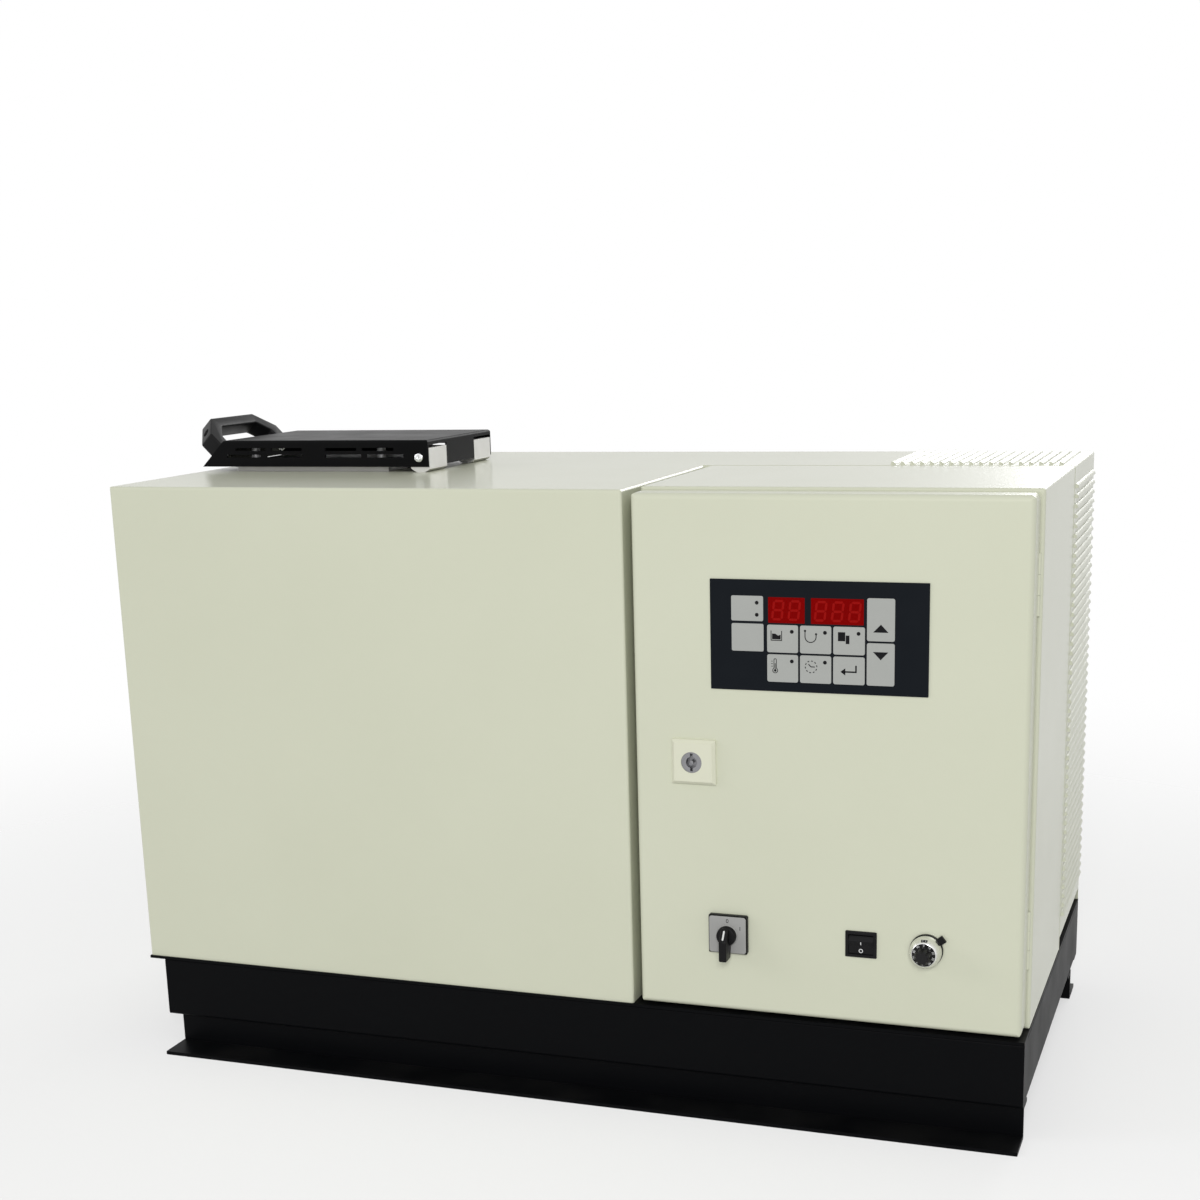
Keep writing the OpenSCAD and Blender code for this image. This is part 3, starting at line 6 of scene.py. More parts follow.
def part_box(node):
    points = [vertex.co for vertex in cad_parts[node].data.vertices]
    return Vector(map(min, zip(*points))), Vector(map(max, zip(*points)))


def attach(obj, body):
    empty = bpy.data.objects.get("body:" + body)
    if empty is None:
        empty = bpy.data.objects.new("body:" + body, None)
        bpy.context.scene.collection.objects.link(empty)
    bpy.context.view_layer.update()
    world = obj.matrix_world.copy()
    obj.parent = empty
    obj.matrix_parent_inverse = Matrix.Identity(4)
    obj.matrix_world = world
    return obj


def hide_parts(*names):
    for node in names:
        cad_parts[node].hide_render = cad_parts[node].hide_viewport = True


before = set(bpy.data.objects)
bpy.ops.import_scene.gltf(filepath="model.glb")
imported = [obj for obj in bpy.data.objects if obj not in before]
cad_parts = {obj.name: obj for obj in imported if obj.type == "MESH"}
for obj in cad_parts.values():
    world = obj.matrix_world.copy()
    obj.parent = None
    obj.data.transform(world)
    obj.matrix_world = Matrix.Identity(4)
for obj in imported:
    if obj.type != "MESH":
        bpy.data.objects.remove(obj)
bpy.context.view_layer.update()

# Camera, at the place and with the lens that the photograph's edges give. The frame is a crop of a
# larger picture, so the optical axis lies below its middle.
FRAME_PX = 1200
FOCAL_PX = 1892.3
AXIS_PX = (605.9, 793.6)
SENSOR_MM = 36
EYE = Vector((0.7224, -2.022, 0.819))
VIEW_RIGHT = Vector((0.9417, 0.3355, -0.0269))
VIEW_AHEAD = Vector((-0.3314, 0.9103, -0.2479))

camera_data = bpy.data.cameras.new("camera")
camera_data.sensor_width = SENSOR_MM
camera_data.lens = FOCAL_PX / FRAME_PX * SENSOR_MM
camera_data.shift_x = 0.5 - AXIS_PX[0] / FRAME_PX
camera_data.shift_y = AXIS_PX[1] / FRAME_PX - 0.5
camera = bpy.data.objects.new("camera", camera_data)
turn = Matrix((VIEW_RIGHT, VIEW_RIGHT.cross(VIEW_AHEAD), -VIEW_AHEAD)).transposed()
camera.matrix_world = Matrix.Translation(EYE) @ turn.to_4x4()
bpy.context.scene.collection.objects.link(camera)
bpy.context.scene.camera = camera

# Hood, louvred cover, cabinet and door: folded steel sheet with a cream powder coat, baked to a satin
# skin with a fine orange peel. The louvres are pressed out of the same sheet.
CREAM = (0.640, 0.658, 0.520, 1.0)
CREAM_SHADE = (0.605, 0.622, 0.486, 1.0)
CREAM_ROUGH = 0.34
CREAM_ROUGH_MORE = 0.12
PEEL_PER_M = 620.0
FINE_PEEL_PER_M = 3.1 * PEEL_PER_M
FINE_PEEL_SHARE = 0.5
PEEL_DEEP = 0.00016
PEEL_STRENGTH = 0.34
CLOUD_PER_M = 7.0
SATIN = {"Specular IOR Level": 0.25, "Coat Weight": 0.5, "Coat Roughness": 0.17}


class Shade:
    """One socket in a material's node tree. Arithmetic with it adds Math nodes to the same tree."""

    def __init__(self, tree, socket=None):
        self.tree = tree
        self.socket = socket

    def node(self, kind, sockets, output=0, **settings):
        """Adds a node: its settings, then each socket's value or link, and gives one of its outputs."""
        made = self.tree.nodes.new(kind)
        for name, value in settings.items():
            setattr(made, name, value)
        for name, value in sockets.items():
            if isinstance(value, Shade):
                self.tree.links.new(value.socket, made.inputs[name])
            else:
                made.inputs[name].default_value = value
        return Shade(self.tree, made.outputs[output])

    def math(self, operation, first, second):
        """Math node of that operation on two numbers or sockets."""
        return self.node("ShaderNodeMath", {0: first, 1: second}, operation=operation)

    def __add__(self, other):
        return self.math("ADD", self, other)

    def __radd__(self, other):
        return self.math("ADD", other, self)

    def __sub__(self, other):
        return self.math("SUBTRACT", self, other)

    def __rsub__(self, other):
        return self.math("SUBTRACT", other, self)

    def __mul__(self, other):
        return self.math("MULTIPLY", self, other)

    def __rmul__(self, other):
        return self.math("MULTIPLY", other, self)

    def place(self, stretch=(1, 1, 1)):
        """Object coordinates in metres, stretched along the axes."""
        plain = self.node("ShaderNodeTexCoord", {}, output="Object")
        return self.node("ShaderNodeMapping", {"Vector": plain, "Scale": stretch})

    def noise(self, place, per_metre, detail=2.0):
        """Soft noise from 0 to 1 with that many lumps to a metre."""
        sockets = {"Vector": place, "Scale": per_metre, "Detail": detail}
        return self.node("ShaderNodeTexNoise", sockets)

    def ramp(self, value, start, end, low, high, **settings):
        """Number that goes from low to high as value goes from start to end, and is level beyond."""
        sockets = {"Value": value, 1: start, 2: end, 3: low, 4: high}
        return self.node("ShaderNodeMapRange", sockets, **settings)

    def blend(self, factor, first, second):
        """Colour that goes from first to second as factor goes from 0 to 1."""
        return self.node("ShaderNodeMix", {0: factor, 6: first, 7: second}, output=2, data_type="RGBA")

    def bump(self, height, depth, strength=1.0):
        """Normal of a surface raised by height times depth in metres."""
        return self.node("ShaderNodeBump", {"Height": height, "Distance": depth, "Strength": strength})


def finish(name, constants, paint):
    """Material whose shader takes constants on its own sockets and the links that paint gives."""
    material = bpy.data.materials.new(name)
    material.use_nodes = True
    tree = material.node_tree
    shader = tree.nodes["Principled BSDF"]
    for socket, value in constants.items():
        shader.inputs[socket].default_value = value
    for socket, value in paint(Shade(tree)).items():
        tree.links.new(value.socket, shader.inputs[socket])
    return material


def dress(material, *names):
    """Gives CAD nodes a material in all their slots."""
    for name in names:
        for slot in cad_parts[name].material_slots:
            slot.material = material


def cream_coat(shade):
    """Orange peel as two noises in the normal, with slow clouds in colour and gloss."""
    place = shade.place()
    peel = shade.noise(place, PEEL_PER_M) + FINE_PEEL_SHARE * shade.noise(place, FINE_PEEL_PER_M)
    cloud = shade.noise(place, CLOUD_PER_M, detail=4.0)
    return {
        "Base Color": shade.blend(cloud, CREAM, CREAM_SHADE),
        "Roughness": CREAM_ROUGH + CREAM_ROUGH_MORE * cloud,
        "Normal": shade.bump(peel, PEEL_DEEP, PEEL_STRENGTH),
    }


cream_paint = finish("cream_paint", SATIN, cream_coat)
dress(cream_paint, "tank_hood", "louvre_cover", "cabinet_body", "cabinet_door", "connection_panel",
      "door_hinges")

# Frame: bent and welded steel sections under a satin black coat of uneven gloss, with a little dust on
# what faces up. The motor's bracket has the same coat.
FRAME_BLACK = (0.0022, 0.0024, 0.0029, 1.0)
FRAME_DUST = (0.018, 0.0175, 0.0165, 1.0)
FRAME_ROUGH = 0.34
FRAME_ROUGH_MORE = 0.2
FRAME_GRAIN_PER_M = 420.0
FRAME_GRAIN_DEEP = 0.0001
FRAME_GRAIN_STRENGTH = 0.25
FRAME_PATCH_PER_M = 14.0
DUST_STARTS = 0.35
DUST_FULL = 0.8
DUST_MOST = 0.35


def frame_coat(shade):
    """Near black, with dust where the normal's z times a slow noise is high, and uneven gloss."""
    place = shade.place()
    grain = shade.noise(place, FRAME_GRAIN_PER_M)
    patch = shade.noise(place, FRAME_PATCH_PER_M, detail=5.0)
    normal = shade.node("ShaderNodeNewGeometry", {}, output="Normal")
    level = shade.node("ShaderNodeSeparateXYZ", {"Vector": normal}, output=2)
    dust = shade.ramp(level * patch, DUST_STARTS, DUST_FULL, 0.0, DUST_MOST)
    return {
        "Base Color": shade.blend(dust, FRAME_BLACK, FRAME_DUST),
        "Roughness": FRAME_ROUGH + FRAME_ROUGH_MORE * patch,
        "Normal": shade.bump(grain, FRAME_GRAIN_DEEP, FRAME_GRAIN_STRENGTH),
    }


black_paint = finish("black_frame_paint", {"Specular IOR Level": 0.05}, frame_coat)
dress(black_paint, "base_plate", "base_rails", "runners", "motor_bracket")

# Filler lid: folded steel with a fine textured black coat, over a stainless collar and an aluminium
# closing plate. It swings on two milled aluminium blocks and bright pivot screws.
LID_BLACK = (0.0032, 0.0033, 0.0038, 1.0)
LID_BLACK_PALE = (0.0055, 0.0055, 0.0058, 1.0)
LID_ROUGH = 0.3
LID_ROUGH_MORE = 0.14
LID_GRAIN_PER_M = 1500.0
LID_GRAIN_DEEP = 0.00008
LID_GRAIN_STRENGTH = 0.35
LID_PATCH_PER_M = 22.0
METAL = {"Metallic": 1.0}
STAIN_PER_M = 30.0
STAIN_ROUGH = 0.1
LINE_ROUGH = 0.25
LINE_STRENGTH = 0.3


def lid_coat(shade):
    """Fine even texture over black, with slow patches in colour and gloss."""
    place = shade.place()
    grain = shade.noise(place, LID_GRAIN_PER_M, detail=1.0)
    patch = shade.noise(place, LID_PATCH_PER_M, detail=3.0)
    return {
        "Base Color": shade.blend(patch, LID_BLACK, LID_BLACK_PALE),
        "Roughness": LID_ROUGH + LID_ROUGH_MORE * patch,
        "Normal": shade.bump(grain, LID_GRAIN_DEEP, LID_GRAIN_STRENGTH),
    }


def metal(colour, other, roughness, stretch, per_metre, depth):
    """Paint function for bare metal: a noise drawn out along the tool's lines in gloss and normal, and
    stains in colour and gloss."""
    def paint(shade):
        lines = shade.noise(shade.place(stretch), per_metre, detail=3.0)
        stain = shade.noise(shade.place(), STAIN_PER_M, detail=3.0)
        return {
            "Base Color": shade.blend(stain, colour, other),
            "Roughness": roughness + LINE_ROUGH * (lines - 0.5) + STAIN_ROUGH * stain,
            "Normal": shade.bump(lines, depth, LINE_STRENGTH),
        }
    return paint


lid_paint = finish("black_lid_paint", {"Specular IOR Level": 0.045}, lid_coat)
stainless = finish("stainless", METAL, metal(
    (0.40, 0.395, 0.385, 1.0), (0.32, 0.315, 0.30, 1.0),
    roughness=0.36, stretch=(1, 1, 40), per_metre=60.0, depth=0.00003))
milled = finish("raw_aluminium", METAL, metal(
    (0.68, 0.675, 0.655, 1.0), (0.58, 0.575, 0.555, 1.0),
    roughness=0.42, stretch=(30, 30, 1), per_metre=80.0, depth=0.00004))
zinc = finish("zinc_steel", METAL, metal(
    (0.74, 0.76, 0.78, 1.0), (0.66, 0.66, 0.62, 1.0),
    roughness=0.3, stretch=(1, 1, 1), per_metre=500.0, depth=0.00003))
dress(lid_paint, "lid_cover")
dress(stainless, "filler_rim", "tank_strainer")
dress(milled, "hinge_blocks", "shaft_coupling")

# Lid handle: one glass-filled plastic moulding, its edges rounded, with a deep socket for the screw at
# each sloping end. Its two screws go through the lid's slope.
MM = 0.001
HANDLE_L = 156
HANDLE_W = 20
HANDLE_H = 45
HANDLE_EDGE = 2.2
FOOT_H = 22
END_SLOPE = 30
BAR_T = 14
LEG_L = 20
INNER_DROP = 6
INNER_IN = 8
FOOT_R = 1.5
KNUCKLE_R = 3
ARCH_FOOT_R = 5
ARCH_TOP_R = 7
COUNTERBORE_R = 4.7
COUNTERBORE_SEAT = 8
COUNTERBORE_IN = 0.65 * LEG_L
FLOW_PER_M = 60.0
FLOW_ROUGH = 0.15
GRAIN_ROUGH = 0.08
GRAIN_STRENGTH = 0.4


def rounded(corners, radius, steps=6):
    """Outline with its corners rounded: each corner c with sides u and v becomes the arc that touches
    both sides, its centre r / sin(half) along the bisector. Corners run counter-clockwise, and radius is
    one number or one per corner."""
    c = np.asarray(corners, float)
    r = np.broadcast_to(np.asarray(radius, float), len(c))[:, None]
    u = np.roll(c, 1, 0) - c
    v = np.roll(c, -1, 0) - c
    u /= np.linalg.norm(u, axis=1, keepdims=True)
    v /= np.linalg.norm(v, axis=1, keepdims=True)
    half = np.arccos(np.clip((u * v).sum(1, keepdims=True), -1, 1)) / 2
    bisector = (u + v) / np.linalg.norm(u + v, axis=1, keepdims=True)
    centre = c + bisector * r / np.sin(half)
    first = c + u * r / np.tan(half) - centre
    side = np.sign(u[:, :1] * v[:, 1:] - u[:, 1:] * v[:, :1])
    swing = -side * (np.pi - 2 * half) * np.linspace(0, 1, steps)
    cos, sin = np.cos(swing), np.sin(swing)
    x = centre[:, :1] + cos * first[:, :1] - sin * first[:, 1:]
    y = centre[:, 1:] + sin * first[:, :1] + cos * first[:, 1:]
    return np.stack([x, y], -1).reshape(-1, 2)


def drawn_in(corners, inset):
    """Polygon with every side moved inwards by inset: a corner moves inset * (n1 + n2) / (1 + n1.n2)."""
    c = np.asarray(corners, float)
    along = np.roll(c, -1, 0) - c
    along /= np.linalg.norm(along, axis=1, keepdims=True)
    after = np.stack([-along[:, 1], along[:, 0]], -1)
    before = np.roll(after, 1, 0)
    return c + inset * (before + after) / (1 + (before * after).sum(1, keepdims=True))


def skin(rings, ring=False):
    """Points and faces of a closed form through rings of points, with a flat cap on both ends, or with
    its last ring joined to its first."""
    count, around = rings.shape[:2]
    index = np.arange(count * around).reshape(count, around)
    beside = np.roll(index, -1, 1)
    above = np.roll(index, -1, 0)
    diagonal = np.roll(beside, -1, 0)
    quads = np.stack([index, beside, diagonal, above], -1)
    if ring:
        return rings.reshape(-1, 3), quads.reshape(-1, 4).tolist()
    faces = quads[:-1].reshape(-1, 4).tolist() + [index[0, ::-1].tolist(), index[-1].tolist()]
    return rings.reshape(-1, 3), faces


def slab(corners, radius, depth, edge=0.0, back_edge=0.0, steps=4):
    """Plate of an outline, w from 0 to depth. Towards each face its outline draws in by e (1 - cos a)
    while w goes e sin a towards that face, for a from 0 to 90 degrees and e the rounding of that edge."""
    c = np.asarray(corners, float)
    before, after = np.roll(c, 1, 0) - c, np.roll(c, -1, 0) - c
    outer = np.where(before[:, 0] * after[:, 1] - before[:, 1] * after[:, 0] < 0, 1.0, -1.0)
    angle = np.linspace(0, np.pi / 2, steps)
    inset = np.concatenate([back_edge * (1 - np.cos(angle[::-1])), edge * (1 - np.cos(angle))])
    level = np.concatenate([back_edge * (1 - np.sin(angle[::-1])), depth - edge * (1 - np.sin(angle))])
    rings = []
    for drawn, w in zip(inset, level):
        outline = rounded(drawn_in(c, drawn), np.maximum(radius - outer * drawn, radius * 0.05))
        rings.append(np.column_stack([outline, np.full(len(outline), w)]))
    return skin(np.array(rings))


def turned(profile, count=64, swell=None, ring=False):
    """Turned form: the profile's point (r, h) at angle t lies at (r cos t, r sin t, h). swell(r, h, t)
    may change the radius with the angle, and a ring closes its profile on itself."""
    r, h = np.asarray(profile, float).T[:, :, None]
    angle = np.linspace(0, 2 * np.pi, count, endpoint=False)
    reach = r + 0 * angle if swell is None else swell(r, h, angle)
    return skin(np.stack([reach * np.cos(angle), reach * np.sin(angle), h + 0 * angle], -1), ring)


def drilled(made, form, sharp=40):
    """Cuts a closed form out of a piece, and keeps what is left as the piece's mesh."""
    mesh = bpy.data.meshes.new("cutter")
    mesh.from_pydata(form[0].tolist(), [], form[1])
    cutter = bpy.data.objects.new("cutter", mesh)
    bpy.context.scene.collection.objects.link(cutter)
    cut = made.modifiers.new("socket", "BOOLEAN")
    cut.object = cutter
    cut.operation = "DIFFERENCE"
    cut.solver = "EXACT"
    bpy.context.view_layer.update()
    left = bpy.data.meshes.new_from_object(made.evaluated_get(bpy.context.evaluated_depsgraph_get()))
    made.modifiers.remove(cut)
    made.data = left
    left.shade_smooth()
    left.set_sharp_from_angle(angle=np.radians(sharp))
    bpy.data.objects.remove(cutter)


def joined(forms):
    """Several forms as one: their points in a row, and each form's faces counted on."""
    points = np.concatenate([form[0] for form in forms])
    starts = np.cumsum([0] + [len(form[0]) for form in forms[:-1]])
    faces = [[int(i) + start for i in face]
             for form, start in zip(forms, starts.tolist()) for face in form[1]]
    return points, faces


def set_on(form, basis, origin):
    """Form moved to its place: (u, v, w) in millimetres goes to origin + u, v, w along the basis' rows."""
    return form[0] * MM @ np.asarray(basis, float) + np.asarray(origin, float), form[1]


def piece(name, form, material, body, replaces=(), sharp=40):
    """Object at the origin with the form as its mesh, smooth up to the angle sharp, riding on a body."""
    mesh = bpy.data.meshes.new(name)
    mesh.from_pydata(form[0].tolist(), [], form[1])
    mesh.materials.append(material)
    mesh.shade_smooth()
    mesh.set_sharp_from_angle(angle=np.radians(sharp))
    made = bpy.data.objects.new(name, mesh)
    bpy.context.scene.collection.objects.link(made)
    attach(made, body)
    if replaces:
        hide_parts(*replaces)
    return made


def moulded(colour, other, roughness, grain_per_m=1800.0, depth=0.00004):
    """Paint function for moulded plastic: a fine spark-eroded grain and slow flow marks."""
    def paint(shade):
        place = shade.place()
        flow = shade.noise(place, FLOW_PER_M, detail=4.0)
        grain = shade.noise(place, grain_per_m, detail=1.0)
        return {
            "Base Color": shade.blend(flow, colour, other),
            "Roughness": roughness + FLOW_ROUGH * (flow - 0.5) + GRAIN_ROUGH * grain,
            "Normal": shade.bump(grain, depth, GRAIN_STRENGTH),
        }
    return paint


black_plastic = finish("black_plastic", {"Specular IOR Level": 0.14}, moulded(
    (0.0042, 0.0042, 0.0047, 1.0), (0.0070, 0.0069, 0.0072, 1.0), roughness=0.36))
arch_half = [(LEG_L, 0), (LEG_L, FOOT_H - INNER_DROP), (END_SLOPE + INNER_IN, HANDLE_H - BAR_T)]
arch = arch_half + [(HANDLE_L - u, v) for u, v in arch_half[::-1]]
outside = [(HANDLE_L, 0), (HANDLE_L, FOOT_H), (HANDLE_L - END_SLOPE, HANDLE_H),
           (END_SLOPE, HANDLE_H), (0, FOOT_H), (0, 0)]
arch_radii = [FOOT_R, ARCH_FOOT_R, ARCH_TOP_R, ARCH_TOP_R, ARCH_FOOT_R, FOOT_R]
outside_radii = [FOOT_R, KNUCKLE_R, KNUCKLE_R, KNUCKLE_R, KNUCKLE_R, FOOT_R]
handle = slab(arch + outside, np.array(arch_radii + outside_radii), HANDLE_W, HANDLE_EDGE, HANDLE_EDGE)

lid_lo, lid_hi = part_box("lid_cover")
lid_mid_y = (lid_lo.y + lid_hi.y) / 2
lid_h = lid_hi.z - lid_lo.z
slope_down = (lid_h * 2 ** 0.5 + HANDLE_W * MM) / 2
DIAGONAL = 0.5 ** 0.5
ON_SLOPE = [(0, 1, 0), (-DIAGONAL, 0, DIAGONAL), (DIAGONAL, 0, DIAGONAL)]
handle_at = Vector((lid_lo.x + lid_h, lid_mid_y - HANDLE_L * MM / 2, lid_hi.z))
handle_at -= slope_down * Vector(ON_SLOPE[2])
handle_piece = piece("lid_handle_moulding", set_on(handle, ON_SLOPE, handle_at), black_plastic, "lid",
                     ["lid_handle"], sharp=50)

ALONG_V = [(0, 0, 1), (1, 0, 0), (0, 1, 0)]
bore = turned([(COUNTERBORE_R, COUNTERBORE_SEAT), (COUNTERBORE_R, HANDLE_H)], 40)
bores = [(bore[0] @ np.array(ALONG_V) + (u, 0, HANDLE_W / 2), bore[1])
         for u in (COUNTERBORE_IN, HANDLE_L - COUNTERBORE_IN)]
drilled(handle_piece, set_on(joined(bores), ON_SLOPE, handle_at), sharp=50)
dress(black_plastic, "lid_handle")
dress(zinc, "handle_screws", "socket_screws", "mounting_plate", "din_rail", "tank_legs", "lock_cam")

# Pivot screws: turned shoulder screws with a bright domed head and a cross recess, one on each side of
# the lid.
FRONT = [(1, 0, 0), (0, 0, 1), (0, -1, 0)]
BACK = [(-1, 0, 0), (0, 0, 1), (0, 1, 0)]
SHANK_R = 3
SHANK_L = 20
HEAD_R = 5
HEAD_H = 3
HEAD_EDGE = 0.3
DOME_H = 0.9
DOME_MID_IN = 0.35
DOME_IN = 1.0
CROSS_R = 2.2
CROSS_WALL_R = 1.7
CROSS_WALL_H = 0.9
CROSS_TIP_R = 0.6
CROSS_TIP_H = 1.5


def cross_recess(r, h, angle):
    """Four lobes where the driver goes in: inside the recess the radius swells as |cos 2t| cubed."""
    lobes = 0.55 + 0.75 * np.abs(np.cos(2 * angle)) ** 3
    return np.where(r <= CROSS_R, r * lobes, r + 0 * angle)


screw_profile = [(SHANK_R, -SHANK_L), (SHANK_R, 0), (HEAD_R - HEAD_EDGE, 0), (HEAD_R, HEAD_EDGE),
                 (HEAD_R, HEAD_H - DOME_H), (HEAD_R - DOME_MID_IN, HEAD_H - HEAD_EDGE),
                 (HEAD_R - DOME_IN, HEAD_H), (CROSS_R, HEAD_H), (CROSS_WALL_R, HEAD_H - CROSS_WALL_H),
                 (CROSS_TIP_R, HEAD_H - CROSS_TIP_H)]
pivot_screw = turned(screw_profile, 48, cross_recess)
pivot_lo, pivot_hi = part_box("lid_pivot_screws")
pivot = (pivot_lo + pivot_hi) / 2
pivot_screws = joined([
    set_on(pivot_screw, FRONT, (pivot.x, pivot_lo.y + HEAD_H * MM, pivot.z)),
    set_on(pivot_screw, BACK, (pivot.x, pivot_hi.y - HEAD_H * MM, pivot.z))])
bright = finish("bright_zinc", METAL, metal(
    (0.86, 0.87, 0.88, 1.0), (0.78, 0.79, 0.80, 1.0),
    roughness=0.16, stretch=(1, 1, 1), per_metre=300.0, depth=0.00001))
piece("pivot_screw_heads", pivot_screws, bright, "housing", ["lid_pivot_screws"], sharp=30)
dress(bright, "lid_pivot_screws")

# Melting tank, manifold and pump: a bead-blasted aluminium casting with screwed-on ground steel parts.
# The geared motor beside the pump has a grey machine paint.
cast = finish("cast_aluminium", METAL, metal(
    (0.62, 0.62, 0.63, 1.0), (0.50, 0.50, 0.51, 1.0),
    roughness=0.5, stretch=(1, 1, 1), per_metre=900.0, depth=0.0002))
ground = finish("machined_steel", METAL, metal(
    (0.52, 0.53, 0.54, 1.0), (0.42, 0.42, 0.43, 1.0),
    roughness=0.28, stretch=(60, 1, 1), per_metre=40.0, depth=0.00002))
machine_paint = finish("motor_paint", {"Specular IOR Level": 0.5}, moulded(
    (0.055, 0.063, 0.072, 1.0), (0.042, 0.048, 0.056, 1.0),
    roughness=0.36, grain_per_m=500.0, depth=0.0001))
dress(cast, "tank", "manifold", "lid_liner")
dress(ground, "tank_heaters", "temperature_sensor", "pump_body", "pump_cover", "pump_drive_gear",
      "pump_driven_gear", "hose_nipples")
dress(machine_paint, "gearbox", "motor")

# Hose nipples: turned from hexagon steel, screwed into the manifold and threaded at the outer end, where
# the hose's union nut goes on.
NIPPLE_R = 7.14
NIPPLE_CHAMFER = 0.9
THREAD_L = 18
THREAD_PITCH = 1.5
THREAD_DEEP = 0.75
THREAD_LEAD = 1.0
THREAD_FOOT = 0.3
THREAD_RINGS = 96
BORE_R = 4
BORE_L = 40
BORE_CHAMFER = 0.4
DRILL_POINT = 2
CORE_R = 0.5
TUBE_R = 8.5
STUB_R = NIPPLE_R - 0.1
STUB_L = 16
HEX_L = 10
HEX_IN_R = 12.7
HEX_OUT_R = 11
HEX_FACE_IN = 1.6
HEX_BEVEL_IN = 1.0
HEX_BEVEL_H = 0.6
HEX_CORNER = 0.97
nipple_lo, nipple_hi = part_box("hose_nipples")
TUBE_L = (nipple_hi.y - nipple_lo.y) / MM - STUB_L


def threaded(r, h, angle):
    """Screw thread in the profile's outer end: the radius falls as a triangle wave of h / pitch - t / turn,
    and the thread runs out towards both ends."""
    phase = (h / THREAD_PITCH - angle / (2 * np.pi)) % 1
    run_out = np.clip(np.minimum(-THREAD_LEAD - h, h + THREAD_L - THREAD_PITCH) / THREAD_PITCH, 0, 1)
    on_thread = (r == NIPPLE_R) & (h > -THREAD_L)
    return np.where(on_thread, r - THREAD_DEEP * run_out * (1 - np.abs(2 * phase - 1)), r + 0 * angle)


def hexagon(r, h, angle):
    """Hexagon bar of corner radius r: r cos 30 / cos of the angle from the nearest flat's middle, with its
    corners turned off to a share of r."""
    flat = (angle % (np.pi / 3)) - np.pi / 6
    return np.minimum(r * np.cos(np.pi / 6) / np.cos(flat), HEX_CORNER * r)


def hexagon_bar(r, start):
    """Length of hexagon bar with both ends chamfered."""
    ends = [(r - HEX_FACE_IN, 0), (r - HEX_BEVEL_IN, 0), (r, HEX_BEVEL_H), (r, HEX_L - HEX_BEVEL_H),
            (r - HEX_BEVEL_IN, HEX_L), (r - HEX_FACE_IN, HEX_L)]
    return turned([(reach, start + h) for reach, h in ends], 96, hexagon)


nipple_profile = [(STUB_R, -TUBE_L - STUB_L), (STUB_R, -TUBE_L), (TUBE_R, -TUBE_L), (TUBE_R, -THREAD_L),
                  (NIPPLE_R, -THREAD_L)]
thread_h = np.linspace(THREAD_FOOT - THREAD_L, -NIPPLE_CHAMFER, THREAD_RINGS)
nipple_profile += [(NIPPLE_R, h) for h in thread_h]
nipple_profile += [(NIPPLE_R - NIPPLE_CHAMFER, 0), (BORE_R + BORE_CHAMFER, 0), (BORE_R, -BORE_CHAMFER),
                   (BORE_R, -BORE_L), (CORE_R, -BORE_L - DRILL_POINT), (CORE_R, -TUBE_L - STUB_L)]
nipple = joined([turned(nipple_profile, 48, threaded, ring=True),
                 hexagon_bar(HEX_OUT_R, -THREAD_L - HEX_L), hexagon_bar(HEX_IN_R, -TUBE_L)])
nipple_z = (nipple_lo.z + nipple_hi.z) / 2
nipples = [set_on(nipple, BACK, (x, nipple_hi.y, nipple_z))
           for x in (nipple_lo.x + HEX_IN_R * MM, nipple_hi.x - HEX_IN_R * MM)]
piece("threaded_nipples", joined(nipples), ground, "housing", ["hose_nipples"], sharp=30)

# Hose sockets: glass-filled grey plastic housings with drawn brass sleeves as contacts, each held by four
# zinc screws with a collar under the head. The shroud's rim is rubbed lighter.
SOCKET_W = 50
SOCKET_GREY = (0.066, 0.066, 0.069, 1.0)
SOCKET_GREY_DEEP = (0.046, 0.046, 0.048, 1.0)
SOCKET_RUBBED = (0.150, 0.150, 0.152, 1.0)
SOCKET_ROUGH = 0.5
SOCKET_GRAIN_PER_M = 1400.0
SOCKET_GRAIN_DEEP = 0.00006
SHROUD_OUT = 14
RUBBED_FROM = 10
RUBBED_FULL = 13.5
RUBBED_MOST = 0.8
INSERT_OUT = 8
CONTACT_COLUMNS = (-13.4, -6, 6, 13.4)
CONTACT_PITCH = 8.9
CONTACT_R = 2
CONTACT_SUNK = 0.4
CONTACT_L = 26
CONTACT_LIP = [(0, -0.35), (-0.12, -0.1), (-0.35, 0), (-0.5, -0.12), (-0.62, -0.6), (-0.62, -12)]
# Black plug a little way down each sleeve: painted shade inside the bore.
SHADE_PLUG_R = CONTACT_R - 0.6
SHADE_PLUG_FOOT = 4
SHADE_PLUG_TOP = 1.1
SHADE_PLUG_DISH_R = 0.6
SHADE_PLUG_DISH = 2.2
SCREW_X = 20
SCREW_Z = 25.5
BOLT_R = 2
BOLT_L = 9.5
WASHER_R = 3.5
WASHER_EDGE = 0.2
WASHER_T = 1.1
CAP_R = 2.85
CAP_TOP = 4.0
STAR_R = 1.5
STAR_TAPER = 0.1
STAR_SEAT = 2.2
socket_lo, socket_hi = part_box("socket_housings")
flange_y = socket_hi.y - SHROUD_OUT * MM
socket_z = (socket_lo.z + socket_hi.z) / 2
socket_xs = (socket_lo.x + SOCKET_W / 2 * MM, socket_hi.x - SOCKET_W / 2 * MM)


